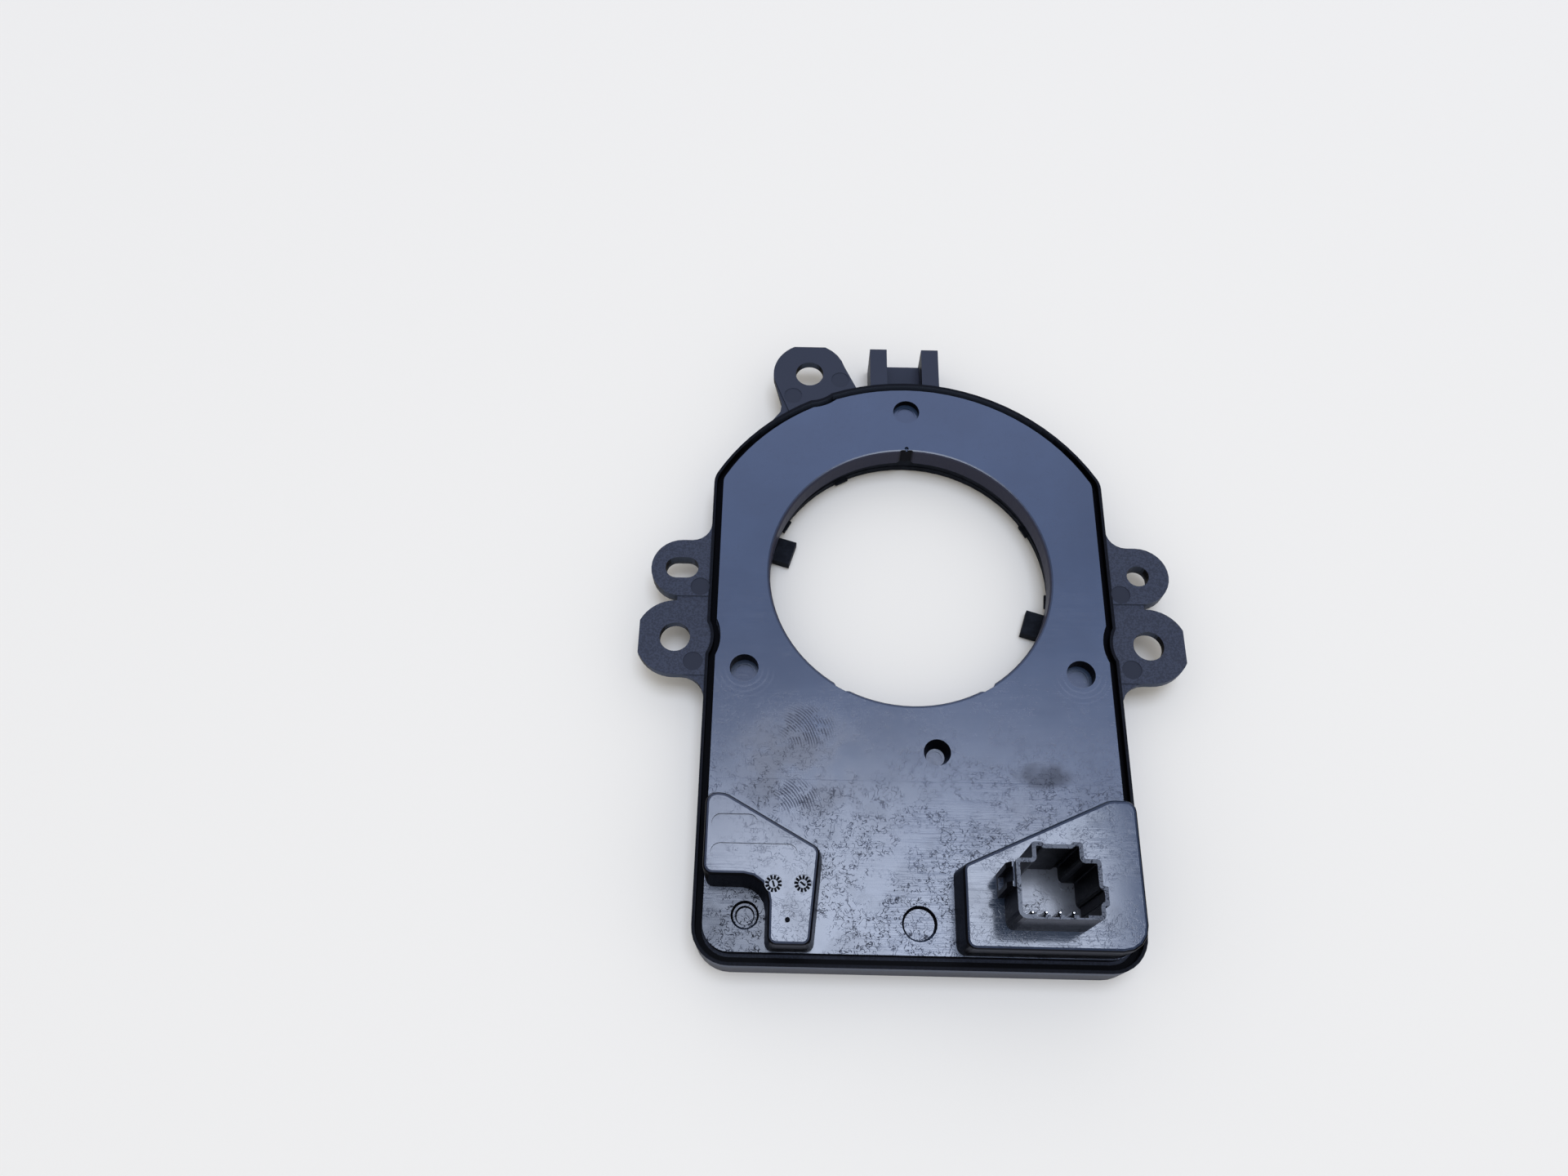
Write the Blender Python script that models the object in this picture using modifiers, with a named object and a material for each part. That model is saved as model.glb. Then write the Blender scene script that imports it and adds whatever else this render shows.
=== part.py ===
"""Steering angle sensor: a flat housing round a shaft bore, with a driven ring, two measuring gears
on magnets, a circuit board and a four-contact socket.

The origin is at the middle of the whole outline, at the underside. +Z is up and +Y points to the
fork. The pieces are laid out from the bore's axis, where an empty carries them all.
"""

import math

import bmesh
import bpy

OBJECT_NAME = "steering_angle_sensor"

# Clearances
SEAT_GAP = 0.0003
SHAFT_GAP = 0.0001
OVERRUN = 0.002
EMBED = 0.0005

# Stack of heights, from the underside up
FLOOR_THICKNESS = 0.0013
FLANGE_THICKNESS = 0.0030
HUB_RISE = 0.0002
BOARD_CLEARANCE = 0.0013
BOARD_THICKNESS = 0.0014
BOARD_HEADROOM = 0.0007
COVER_THICKNESS = 0.0016
FLANGE_BOTTOM = FLOOR_THICKNESS + SEAT_GAP
FLANGE_TOP = FLANGE_BOTTOM + FLANGE_THICKNESS
HUB_TOP = FLANGE_TOP + HUB_RISE
COLLAR_BOTTOM = HUB_TOP + SEAT_GAP
BOARD_BOTTOM = FLANGE_TOP + BOARD_CLEARANCE
BOARD_TOP = BOARD_BOTTOM + BOARD_THICKNESS
COVER_BOTTOM = BOARD_TOP + BOARD_HEADROOM
COVER_TOP = COVER_BOTTOM + COVER_THICKNESS

# Shaft bore and driven ring
BORE_RADIUS = 0.0290
BORE_FILLET = 0.0006
COLLAR_WALL = 0.0016
HUB_SETBACK = 0.0012
HUB_STEP = 0.0002
HUB_STEP_HEIGHT = 0.0015
HUB_WALL = 0.0011
HUB_BOTTOM = 0.0003
FLANGE_WIDTH = 0.0047
HUB_INNER = BORE_RADIUS + HUB_SETBACK
HUB_OUTER = HUB_INNER + HUB_WALL
LUG_REACH = 0.0035
LUG_WIDTH = 0.0055
LUG_HEIGHT = 0.0020
LUG_ANGLES = (163.0, -17.0)
NIB_REACH = 0.0007
NIB_WIDTH = 0.0030
NIB_BOTTOM = 0.0008
NIB_HEIGHT = 0.0006
NIB_ANGLES = (118.0, 150.6, 29.2, -4.5)
NOTCH_ANGLES = (90.0, -119.0, -59.0)
NOTCH_DEPTH = 0.0005
NOTCH_WIDTH = 0.0036
NOTCH_TAPER = 0.0007
NOTCH_MARK_RADIUS = 0.00045
NOTCH_MARK_SETBACK = 0.0009
NOTCH_MARK_DEPTH = 0.0005

# Gear train
MODULE = 0.0008
ADDENDUM = 0.75
DEDENDUM = 1.10
TOOTH_SLIMMING = 0.00012
PRESSURE_ANGLE = 20.0
ROOT_SHARE = 0.85
RING_TEETH = round(2 * (HUB_OUTER + FLANGE_WIDTH) / MODULE)
RING_PITCH_RADIUS = RING_TEETH * MODULE / 2
RING_TIP_RADIUS = RING_PITCH_RADIUS + ADDENDUM * MODULE
GEAR_TEETH = {"a": 26, "b": 28}
GEAR_ANGLES = {"a": -112.0, "b": -68.0}
GEAR_THICKNESS = 0.0028
SPIGOT_RADIUS = 0.0015
MAGNET_RADIUS = 0.0030
MAGNET_THICKNESS = 0.0011
MAGNET_SEAT = 0.0014

# Housing wall
SIDE_ROOM = 0.0020
FAR_ROOM = 0.0075
BAY_LENGTH = 0.0423
LIP_THICKNESS = 0.0006
SHOULDER_THICKNESS = 0.0017
WALL_THICKNESS = 0.0029
GROOVE_WIDTH = 0.0014
NEAR_GROOVE_EXTRA = 0.0004
SKIRT_THICKNESS = 0.0012
SKIRT_DEPTH = 0.0010
RIM_STEP = 0.0002
LIP_DEPTH = 0.0020
NEAR_CORNER_RADIUS = 0.0070
FAR_CORNER_RADIUS = 0.0050
HALF_WIDTH = RING_TIP_RADIUS + SIDE_ROOM + WALL_THICKNESS
FAR_RADIUS = RING_TIP_RADIUS + FAR_ROOM + WALL_THICKNESS
NEAR_EDGE = -(RING_TIP_RADIUS + BAY_LENGTH)
RIM_TOP = COVER_TOP - RIM_STEP
COVER_INSET = LIP_THICKNESS + GROOVE_WIDTH
SKIRT_INSET = COVER_INSET + SKIRT_THICKNESS
SKIRT_BOTTOM = COVER_BOTTOM - SKIRT_DEPTH
LEDGE_TOP = SKIRT_BOTTOM - SEAT_GAP
BOARD_INSET = SKIRT_INSET + SEAT_GAP

# Round fixing ears and the wall's relief for the screw heads
SCREW_HEAD_ROOM = 0.0073
SIDE_RELIEF = 0.0009
TOP_RELIEF = 0.0005
EAR_HOLE_RADIUS = 0.0031
EAR_RIM = 0.0050
EAR_FLAT_RIM = 0.0042
EAR_THICKNESS = 0.0019
EAR_DROP = 0.0005
WEB_DROP = 0.0003
WEB_INSET = 0.00005
SIDE_EAR_Y = -0.0152
SIDE_EAR_X = HALF_WIDTH + SCREW_HEAD_ROOM - SIDE_RELIEF
SIDE_FILLET = 0.0050
TOP_EAR_ANGLE = 113.4
TOP_EAR_RADIUS = FAR_RADIUS + SCREW_HEAD_ROOM - TOP_RELIEF
TOP_EAR_X = TOP_EAR_RADIUS * math.cos(math.radians(TOP_EAR_ANGLE))
TOP_EAR_Y = TOP_EAR_RADIUS * math.sin(math.radians(TOP_EAR_ANGLE))
TOP_EAR_LEFT_ROOT = 125.5
TOP_EAR_RIGHT_ROOT = 102.5
TOP_EAR_START = 15.0
TOP_WEB_START = 30.0
TOP_EAR_END = 190.0
TOP_EAR_ROOT_INSET = 1.5
TOP_WEB_ROOT_INSET = 1.0
TOP_FLARE = ((0.0026, 123.6), (0.0011, 125.2), (0.0003, 128.4))
EAR_TOP = COVER_TOP - EAR_DROP
EAR_BOTTOM = EAR_TOP - EAR_THICKNESS
EAR_RADIUS = EAR_HOLE_RADIUS + EAR_RIM
EAR_FLAT = EAR_HOLE_RADIUS + EAR_FLAT_RIM

# Locating ears beside the bore
LOCATOR_OUT = 0.0058
LOCATOR_Y = 0.0004
LOCATOR_RADIUS = 0.0064
LOCATOR_THICKNESS = 0.0031
LOCATOR_FILLET = 0.0040
LOCATOR_HOLE_RADIUS = 0.0023
LOCATOR_SLOT_LENGTH = 0.0069
LOCATOR_SLOT_WIDTH = 0.0047
LOCATOR_X = HALF_WIDTH + LOCATOR_OUT

# Ejector marks on the ears, as offsets from the ear's hole
MARK_RADIUS = 0.0020
MARK_DEPTH = 0.00012
LOCATOR_MARK = (-0.0040, -0.0043)
SIDE_EAR_MARK = (-0.0039, -0.0052)
TOP_EAR_MARKS = ((-0.0036, -0.0059), (0.0069, -0.0015))

# Fork at the far end
FORK_HALF_GAP = 0.0039
PRONG_WIDTH = 0.0038
PRONG_REACH = 0.0094
BRIDGE_REACH = 0.0087
BRIDGE_THICKNESS = 0.0033

# Place of the bore's axis, so that the outline's middle is at the origin
FAR_END = max(FAR_RADIUS + PRONG_REACH, TOP_EAR_Y + EAR_FLAT)
BORE_Y = -(NEAR_EDGE + FAR_END) / 2

# Shapes of the cover's dimples: radius at the top, radius at the floor, depth
SIDE_DIMPLE_SHAPE = (0.0029, 0.0029, 0.0032)
TOP_DIMPLE_SHAPE = (0.0029, 0.0029, 0.0016)
MIDDLE_DIMPLE_SHAPE = (0.00265, 0.0018, 0.0036)
NEAR_DIMPLE_SHAPE = (0.00325, 0.00280, 0.0010)
CORNER_DIMPLE_SHAPE = (0.0020, 0.00155, 0.0015)
CORNER_LEDGE_SHAPE = (0.0026, 0.0022, 0.0007)

# Places of the dimples, from the side wall, the ring's tips or the near edge
SIDE_DIMPLE_INSET = 0.0079
SIDE_DIMPLE_ROOM = 0.00345
TOP_DIMPLE_X = 0.0001
TOP_DIMPLE_ROOM = 0.0027
MIDDLE_DIMPLE_X = 0.0044
MIDDLE_DIMPLE_ROOM = 0.0019
NEAR_DIMPLE_X = 0.0001
NEAR_DIMPLE_RISE = 0.0080
CORNER_DIMPLE_INSET = 0.0097
CORNER_DIMPLE_RISE = 0.0089
SIDE_DIMPLE_X = HALF_WIDTH - SIDE_DIMPLE_INSET
SIDE_DIMPLE_Y = -math.sqrt((RING_TIP_RADIUS + SIDE_DIMPLE_ROOM) ** 2 - SIDE_DIMPLE_X ** 2)
SIDE_DIMPLE = (SIDE_DIMPLE_X, SIDE_DIMPLE_Y, *SIDE_DIMPLE_SHAPE)
TOP_DIMPLE = (TOP_DIMPLE_X, RING_TIP_RADIUS + TOP_DIMPLE_ROOM, *TOP_DIMPLE_SHAPE)
MIDDLE_DIMPLE = (MIDDLE_DIMPLE_X, -RING_TIP_RADIUS - MIDDLE_DIMPLE_ROOM, *MIDDLE_DIMPLE_SHAPE)
NEAR_DIMPLE = (NEAR_DIMPLE_X, NEAR_EDGE + NEAR_DIMPLE_RISE, *NEAR_DIMPLE_SHAPE)
CORNER_DIMPLE = (
    CORNER_DIMPLE_INSET - HALF_WIDTH, NEAR_EDGE + CORNER_DIMPLE_RISE, *CORNER_DIMPLE_SHAPE)
DIMPLE_WALL = 0.0010
DIMPLE_FLOOR = 0.0010
THIN_DIMPLE_FLOOR = 0.0005
DIMPLE_MARK_SHARE = 0.68
COVER_POST_RADIUS = 0.0020

# Raised pads on the cover
PAD_HEIGHT = 0.0085
PAD_WALL = 0.0016
PAD_DRAFT = 0.0007
PAD_FILLET = 0.0007
PAD_EDGE_SETBACK = 0.0001
PAD_TOP = COVER_TOP + PAD_HEIGHT

# Outlines of the pads, as distances inside the side wall and above the near edge
PAD_RISE = 0.02955
PAD_SHOULDER_RADIUS = 0.0040
PAD_SIDE_RADIUS = 0.0020
LEFT_PAD_SHOULDER_INSET = 0.0057
LEFT_PAD_TIP_INSET = 0.0232
LEFT_PAD_TIP_RISE = 0.0196
LEFT_PAD_TIP_RADIUS = 0.0018
LEFT_PAD_FOOT_INSET = 0.0216
LEG_INSET = 0.0140
LEG_INNER_RADIUS = 0.0045
LEG_END_RADIUS = 0.0016
RECESS_RISE = 0.0145
RIGHT_PAD_SHOULDER_INSET = 0.0070
RIGHT_PAD_INSET = 0.0343
RIGHT_PAD_TIP_RISE = 0.0172
RIGHT_PAD_TIP_RADIUS = 0.0015
RIGHT_PAD_CORNER_RADIUS = 0.0048

# Bare label recesses: distance of the inner end from the side wall, of both edges from the near edge
LABEL_DEPTH = 0.0003
LABEL_INSET = 0.0034
UPPER_LABEL = (0.0118, 0.0222, 0.0255)
LOWER_LABEL = (0.0191, 0.0168, 0.0202)

# Date dials on the left pad, as distances inside the side wall and above the near edge
DIAL_RADIUS = 0.0016
DIAL_DEPTH = 0.0002
DIALS = ((0.0149, 0.0131), (0.0201, 0.0132), (0.0175, 0.0069))

# Socket on the right pad
SOCKET_INSET = 0.0201
SOCKET_RISE = 0.0109
SOCKET_WIDTH = 0.0144
SOCKET_DEPTH = 0.0100
SOCKET_WALL = 0.0007
SOCKET_HEIGHT = 0.0126
SOCKET_FLOOR_DROP = 0.0049
SOCKET_FLOOR_THICKNESS = 0.0012
SOCKET_LEFT_RADIUS = 0.0014
SOCKET_RIGHT_RADIUS = 0.0008
SOCKET_SHOULDER_RADIUS = 0.0007
SOCKET_FINE_RADIUS = 0.0002
KEY_WIDTH = 0.0087
KEY_DEPTH = 0.0028
KEY_CORNER_WIDTH = 0.0017
KEY_SET_BACK = 0.0004
KEY_CORNER_RADIUS = 0.0005
RIB_REACH = 0.0008
RIB_LENGTH = 0.0032
RIB_DROP = 0.0011
LATCH_REACH = 0.0012
LATCH_LENGTH = 0.0042
LATCH_RISE = 0.0026
LATCH_DROP = 0.0030
LATCH_LIP = 0.0004
LATCH_SLOT_LENGTH = 0.0024
SLOT_WIDTH = 0.0015
SLOT_DEPTH = 0.0004
SOCKET_X = HALF_WIDTH - SOCKET_INSET
SOCKET_Y = NEAR_EDGE + SOCKET_RISE
SOCKET_RIM = PAD_TOP + SOCKET_HEIGHT
SOCKET_FLOOR = PAD_TOP - SOCKET_FLOOR_DROP
SOCKET_BOTTOM = SOCKET_FLOOR - SOCKET_FLOOR_THICKNESS

# Contacts
CONTACT_COUNT = 4
CONTACT_PITCH = 0.00235
CONTACT_WIDTH = 0.0006
CONTACT_WALL_ROOM = 0.0015
CONTACT_STANDOUT = 0.0109
CONTACT_TAIL = 0.0007
CONTACT_TIP_TAPER = 0.0006
CONTACT_Y = SOCKET_Y - SOCKET_DEPTH / 2 + SOCKET_WALL + CONTACT_WALL_ROOM

# Circuit board and its posts
BOARD_OVERLAP = 0.0096
BOARD_POST_RADIUS = 0.0022
BOARD_PIN_RADIUS = 0.0010
BOARD_POST_INSET = 0.0070
BOARD_POST_OVERLAP = 0.0046

# Components in the middle of the board: sizes, then x and the distance above the near edge
SENSOR_CHIP = (0.0050, 0.0040, 0.0009)
CONTROLLER = (0.0070, 0.0070, 0.0012)
CONTROLLER_PLACE = (0.0005, 0.0164)
TRANSCEIVER = (0.0050, 0.0040, 0.0011)
TRANSCEIVER_PLACE = (0.0115, 0.0149)
REGULATOR = (0.0065, 0.0035, 0.0016)
REGULATOR_PLACE = (-0.0135, 0.0149)
CRYSTAL = (0.0050, 0.0032, 0.0011)
CRYSTAL_PLACE = (-0.0060, 0.0084)
CERAMIC = (0.0020, 0.00125, 0.00125)
CERAMIC_PLACES = ((-0.0060, 0.0189), (0.0065, 0.0194), (-0.0200, 0.0149), (0.0115, 0.0099))

# Taller components under the pads: sizes, then distances inside the side wall and above the near edge
CHOKE = (0.0045, 0.0038, 0.0035)
CHOKE_PLACE = (0.0160, 0.0182)
DIODE = (0.0036, 0.0046, 0.0023)
DIODE_PLACE = (0.0077, 0.0124)
CAN_RADIUS = 0.00315
CAN_HEIGHT = 0.0058
CAN_BASE_HEIGHT = 0.0010
CAN_BASE_WIDTH = 0.0066
CAN_CHAMFER = 0.0004
CAN_SIDES = {"a": -1, "b": 1}
CAN_INSETS = {"a": 0.0079, "b": 0.0077}
CAN_STARTS = {"a": RECESS_RISE, "b": DIODE_PLACE[1]}
CAN_SHARES = {"a": 0.405, "b": 0.525}
CAN_PLACES = {
    key: (CAN_INSETS[key], start + CAN_SHARES[key] * (PAD_RISE - start))
    for key, start in CAN_STARTS.items()}

# Fineness of round shapes, and the largest angle between faces that count as one flat
LARGE_STEPS = 96
HUB_STEPS = 72
MEDIUM_STEPS = 32
SMALL_STEPS = 24
FAR_STEPS = 20
HIDDEN_STEPS = 16
MARK_STEPS = 12
END_STEPS = 10
EAR_STEPS = 8
FOOT_STEPS = 6
CORNER_STEPS = 4
BEND_STEPS = 3
FILLET_ANGLES = (0.0, 30.0, 60.0, 90.0)
FLAT_ANGLE = math.radians(0.05)
SMOOTH_ANGLE = math.radians(35)
WELD_DISTANCE = 1e-7

# Looks: colour, roughness and metallic share
LOOKS = {
    "black_plastic": ((0.030, 0.033, 0.042), 0.35, 0.0),
    "ring_plastic": ((0.025, 0.026, 0.030), 0.45, 0.0),
    "pale_gear_plastic": ((0.80, 0.79, 0.74), 0.40, 0.0),
    "magnet": ((0.12, 0.12, 0.13), 0.45, 0.6),
    "board": ((0.02, 0.16, 0.07), 0.45, 0.0),
    "chip_plastic": ((0.02, 0.02, 0.02), 0.55, 0.0),
    "can_metal": ((0.75, 0.75, 0.76), 0.30, 1.0),
    "ceramic": ((0.45, 0.33, 0.22), 0.50, 0.0),
    "ferrite": ((0.09, 0.09, 0.10), 0.60, 0.0),
    "tinned_contact": ((0.72, 0.70, 0.66), 0.25, 1.0),
}


def clear_scene():
    """Remove what the file holds before the model is made."""
    for item in list(bpy.data.objects):
        bpy.data.objects.remove(item, do_unlink=True)


def new_collection(name, parent):
    """Make a collection under a parent collection."""
    collection = bpy.data.collections.new(name)
    parent.children.link(collection)
    return collection


clear_scene()
PARTS = new_collection(OBJECT_NAME, bpy.context.scene.collection)
CUTTERS = new_collection("cutters", bpy.context.scene.collection)
BORE_AXIS = bpy.data.objects.new("bore_axis", None)
BORE_AXIS.location.y = BORE_Y
CUTTERS.objects.link(BORE_AXIS)


def material(name, colour, roughness, metallic):
    """Make a plain Principled material."""
    made = bpy.data.materials.new(name)
    made.use_nodes = True
    shader = made.node_tree.nodes["Principled BSDF"]
    shader.inputs["Base Color"].default_value = (*colour, 1.0)
    shader.inputs["Roughness"].default_value = roughness
    shader.inputs["Metallic"].default_value = metallic
    return made


def polar(radius, degrees, centre=(0.0, 0.0)):
    """Point at a radius and an angle round a centre."""
    angle = math.radians(degrees)
    return centre[0] + radius * math.cos(angle), centre[1] + radius * math.sin(angle)


def arc(centre, radius, start, end, steps):
    """Points along an arc, angles in degrees, both ends included."""
    return [polar(radius, start + (end - start) * i / steps, centre) for i in range(steps + 1)]


def from_walls(side, place):
    """Point at distances inside a side wall and above the near edge. Side is -1 for left, 1 for right."""
    inset, rise = place
    return side * (HALF_WIDTH - inset), NEAR_EDGE + rise


def on_board(place):
    """Point at an x and a distance above the near edge."""
    return place[0], NEAR_EDGE + place[1]


def mirrored(points, side):
    """Points with x multiplied by side, which is 1 or -1."""
    return [(side * x, y) for x, y in points]


def rectangle(left, right, low, high):
    """Corners of an upright rectangle."""
    return [(left, low), (right, low), (right, high), (left, high)]


def relief_arc(centre, radius, wall_angle, half_chord, steps):
    """Concave arc of the wall round an ear's hole, run clockwise past the side that faces the wall."""
    swing = math.degrees(math.asin(half_chord / radius))
    return arc(centre, radius, wall_angle + swing, wall_angle - swing, steps)


def wall_outline(inset, near_extra=0.0):
    """Outline of the housing wall moved inwards by inset, anticlockwise from the near left corner."""
    side = HALF_WIDTH - inset
    far = FAR_RADIUS - inset
    relief = SCREW_HEAD_ROOM + inset
    corner = NEAR_CORNER_RADIUS - inset
    corner_x = HALF_WIDTH - NEAR_CORNER_RADIUS
    corner_y = NEAR_EDGE + NEAR_CORNER_RADIUS + near_extra
    bend_x = HALF_WIDTH - FAR_CORNER_RADIUS
    bend_y = math.sqrt((FAR_RADIUS - FAR_CORNER_RADIUS) ** 2 - bend_x ** 2)
    bend = math.degrees(math.atan2(bend_y, bend_x))
    side_chord = math.sqrt(relief ** 2 - (SIDE_EAR_X - side) ** 2)
    spread = math.acos((far ** 2 + TOP_EAR_RADIUS ** 2 - relief ** 2) / (2 * far * TOP_EAR_RADIUS))
    top_chord = far * math.sin(spread)
    spread = math.degrees(spread)
    right_relief = relief_arc((SIDE_EAR_X, SIDE_EAR_Y), relief, 180.0, side_chord, EAR_STEPS)
    left_relief = [(-x, y) for x, y in reversed(right_relief)]
    far_bend = arc((bend_x, bend_y), FAR_CORNER_RADIUS - inset, 0.0, bend, BEND_STEPS)
    points = arc((-corner_x, corner_y), corner, 180.0, 270.0, EAR_STEPS)
    points += arc((corner_x, corner_y), corner, 270.0, 360.0, EAR_STEPS)
    points += right_relief
    points += far_bend[:-1]
    points += arc((0.0, 0.0), far, bend, TOP_EAR_ANGLE - spread, FAR_STEPS)[:-1]
    points += relief_arc(
        (TOP_EAR_X, TOP_EAR_Y), relief, TOP_EAR_ANGLE + 180.0, top_chord, EAR_STEPS)
    points += arc((0.0, 0.0), far, TOP_EAR_ANGLE + spread, 180.0 - bend, END_STEPS)[1:]
    points += [(-x, y) for x, y in reversed(far_bend[:-1])]
    points += left_relief
    return points


def rounded(corners, inset=0.0, draft=0.0, steps=CORNER_STEPS):
    """Anticlockwise polygon with rounded corners, its edges moved inwards.

    A corner is x, y, its radius and whether the edge that leaves it leans. A leaning edge stands
    out by draft. Outer corners tighten as the outline shrinks and inner ones widen.
    """
    edges = []
    for (x0, y0, _, leans), (x1, y1, _, _) in zip(corners, corners[1:] + corners[:1]):
        length = math.hypot(x1 - x0, y1 - y0)
        dx, dy = (x1 - x0) / length, (y1 - y0) / length
        shift = inset - draft * leans
        edges.append((x0 - dy * shift, y0 + dx * shift, dx, dy))
    points = []
    for i, (_, _, radius, _) in enumerate(corners):
        ax, ay, adx, ady = edges[i - 1]
        bx, by, bdx, bdy = edges[i]
        cross = adx * bdy - ady * bdx
        along = ((bx - ax) * bdy - (by - ay) * bdx) / cross
        px, py = ax + adx * along, ay + ady * along
        turn = math.atan2(cross, adx * bdx + ady * bdy)
        bend = max(radius - math.copysign(inset, turn), EMBED / 2)
        reach = bend * abs(math.tan(turn / 2))
        side = math.copysign(1.0, turn)
        cx = px - adx * reach - ady * bend * side
        cy = py - ady * reach + adx * bend * side
        start = math.degrees(math.atan2(-adx * side, ady * side))
        points += arc((cx, cy), bend, start, start + math.degrees(turn), steps)
    return points


def add_object(name, mesh, collection):
    """Put a mesh into a collection as an object carried by the empty on the bore's axis."""
    made = bpy.data.objects.new(name, mesh)
    collection.objects.link(made)
    made.parent = BORE_AXIS
    return made


def as_cutter(piece):
    """Show a piece as a guide only."""
    piece.hide_render = True
    piece.display_type = "WIRE"
    return piece


def prism(name, loops, bottom, top, collection=CUTTERS):
    """Raise a filled outline, with any holes, from bottom to top."""
    curve = bpy.data.curves.new(name, "CURVE")
    curve.dimensions = "2D"
    curve.fill_mode = "BOTH"
    curve.extrude = (top - bottom) / 2
    for loop in loops:
        spline = curve.splines.new("POLY")
        spline.points.add(len(loop) - 1)
        spline.use_cyclic_u = True
        for point, (x, y) in zip(spline.points, loop):
            point.co = (x, y, 0.0, 1.0)
    outline = add_object(name + "_outline", curve, CUTTERS)
    outline.location.z = (bottom + top) / 2
    depsgraph = bpy.context.evaluated_depsgraph_get()
    mesh = bpy.data.meshes.new_from_object(outline.evaluated_get(depsgraph))
    mesh.name = name
    shell = bmesh.new()
    shell.from_mesh(mesh)
    bmesh.ops.remove_doubles(shell, verts=shell.verts, dist=WELD_DISTANCE)
    bmesh.ops.recalc_face_normals(shell, faces=shell.faces)
    bmesh.ops.dissolve_limit(shell, angle_limit=FLAT_ANGLE, verts=shell.verts, edges=shell.edges)
    shell.to_mesh(mesh)
    shell.free()
    made = add_object(name, mesh, collection)
    made.matrix_world = outline.matrix_world.copy()
    bpy.data.objects.remove(outline, do_unlink=True)
    bpy.data.curves.remove(curve)
    return made


def cone(name, centre, bottom_radius, top_radius, bottom, top, steps, collection=CUTTERS):
    """Upright cone frustum or cylinder."""
    shell = bmesh.new()
    bmesh.ops.create_cone(
        shell, cap_ends=True, segments=steps,
        radius1=bottom_radius, radius2=top_radius, depth=top - bottom)
    mesh = bpy.data.meshes.new(name)
    shell.to_mesh(mesh)
    shell.free()
    made = add_object(name, mesh, collection)
    made.location = (centre[0], centre[1], (bottom + top) / 2)
    return made


def cylinder(name, centre, radius, bottom, top, steps=SMALL_STEPS, collection=CUTTERS):
    """Upright cylinder."""
    return cone(name, centre, radius, radius, bottom, top, steps, collection)


def box(name, centre, size, bottom, collection=CUTTERS):
    """Upright box of the given width, depth and height."""
    shell = bmesh.new()
    bmesh.ops.create_cube(shell, size=1.0)
    bmesh.ops.scale(shell, vec=size, verts=shell.verts)
    mesh = bpy.data.meshes.new(name)
    shell.to_mesh(mesh)
    shell.free()
    made = add_object(name, mesh, collection)
    made.location = (centre[0], centre[1], bottom + size[2] / 2)
    return made


def turned(name, profile, steps, collection=CUTTERS):
    """Turn a profile of radius and height about the Z axis, listed down its outer side."""
    mesh = bpy.data.meshes.new(name)
    count = len(profile)
    mesh.from_pydata([(r, 0.0, z) for r, z in profile], [(i, i + 1) for i in range(count - 1)], [])
    made = add_object(name, mesh, collection)
    screw = made.modifiers.new("Screw", "SCREW")
    screw.steps = steps
    screw.render_steps = steps
    screw.use_merge_vertices = True
    screw.merge_threshold = WELD_DISTANCE
    return made


def loft(name, rings, collection=CUTTERS):
    """Solid through matching rings, each a height and its points."""
    shell = bmesh.new()
    loops = [[shell.verts.new((x, y, height)) for x, y in ring] for height, ring in rings]
    shell.faces.new(reversed(loops[0]))
    shell.faces.new(loops[-1])
    for lower, upper in zip(loops, loops[1:]):
        for i in range(len(lower)):
            shell.faces.new((lower[i - 1], lower[i], upper[i], upper[i - 1]))
    mesh = bpy.data.meshes.new(name)
    shell.to_mesh(mesh)
    shell.free()
    return add_object(name, mesh, collection)


def boolean(piece, operation, tools):
    """Join tools to a piece, or cut them from it, in one step that stays off until all is made."""
    group = new_collection(f"{piece.name}_{operation.lower()}_{len(piece.modifiers)}", CUTTERS)
    for tool in tools:
        CUTTERS.objects.unlink(tool)
        group.objects.link(as_cutter(tool))
    modifier = piece.modifiers.new(operation.title(), "BOOLEAN")
    modifier.operation = operation
    modifier.solver = "EXACT"
    modifier.operand_type = "COLLECTION"
    modifier.collection = group
    modifier.show_viewport = False


def join(piece, tools):
    """Union of a piece with its tools."""
    boolean(piece, "UNION", tools)


def cut(piece, tools):
    """Cut the tools out of a piece."""
    boolean(piece, "DIFFERENCE", tools)


def finish(piece, look, smooth=True):
    """Give a piece its material and its shading, and merge the flat faces that its cuts left."""
    if piece.modifiers:
        merge = piece.modifiers.new("Merge flats", "DECIMATE")
        merge.decimate_type = "DISSOLVE"
        merge.angle_limit = FLAT_ANGLE
        merge.show_viewport = False
    piece.data.materials.clear()
    piece.data.materials.append(look)
    if smooth:
        piece.data.shade_smooth()
        piece.data.set_sharp_from_angle(angle=SMOOTH_ANGLE)
    return piece


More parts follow.
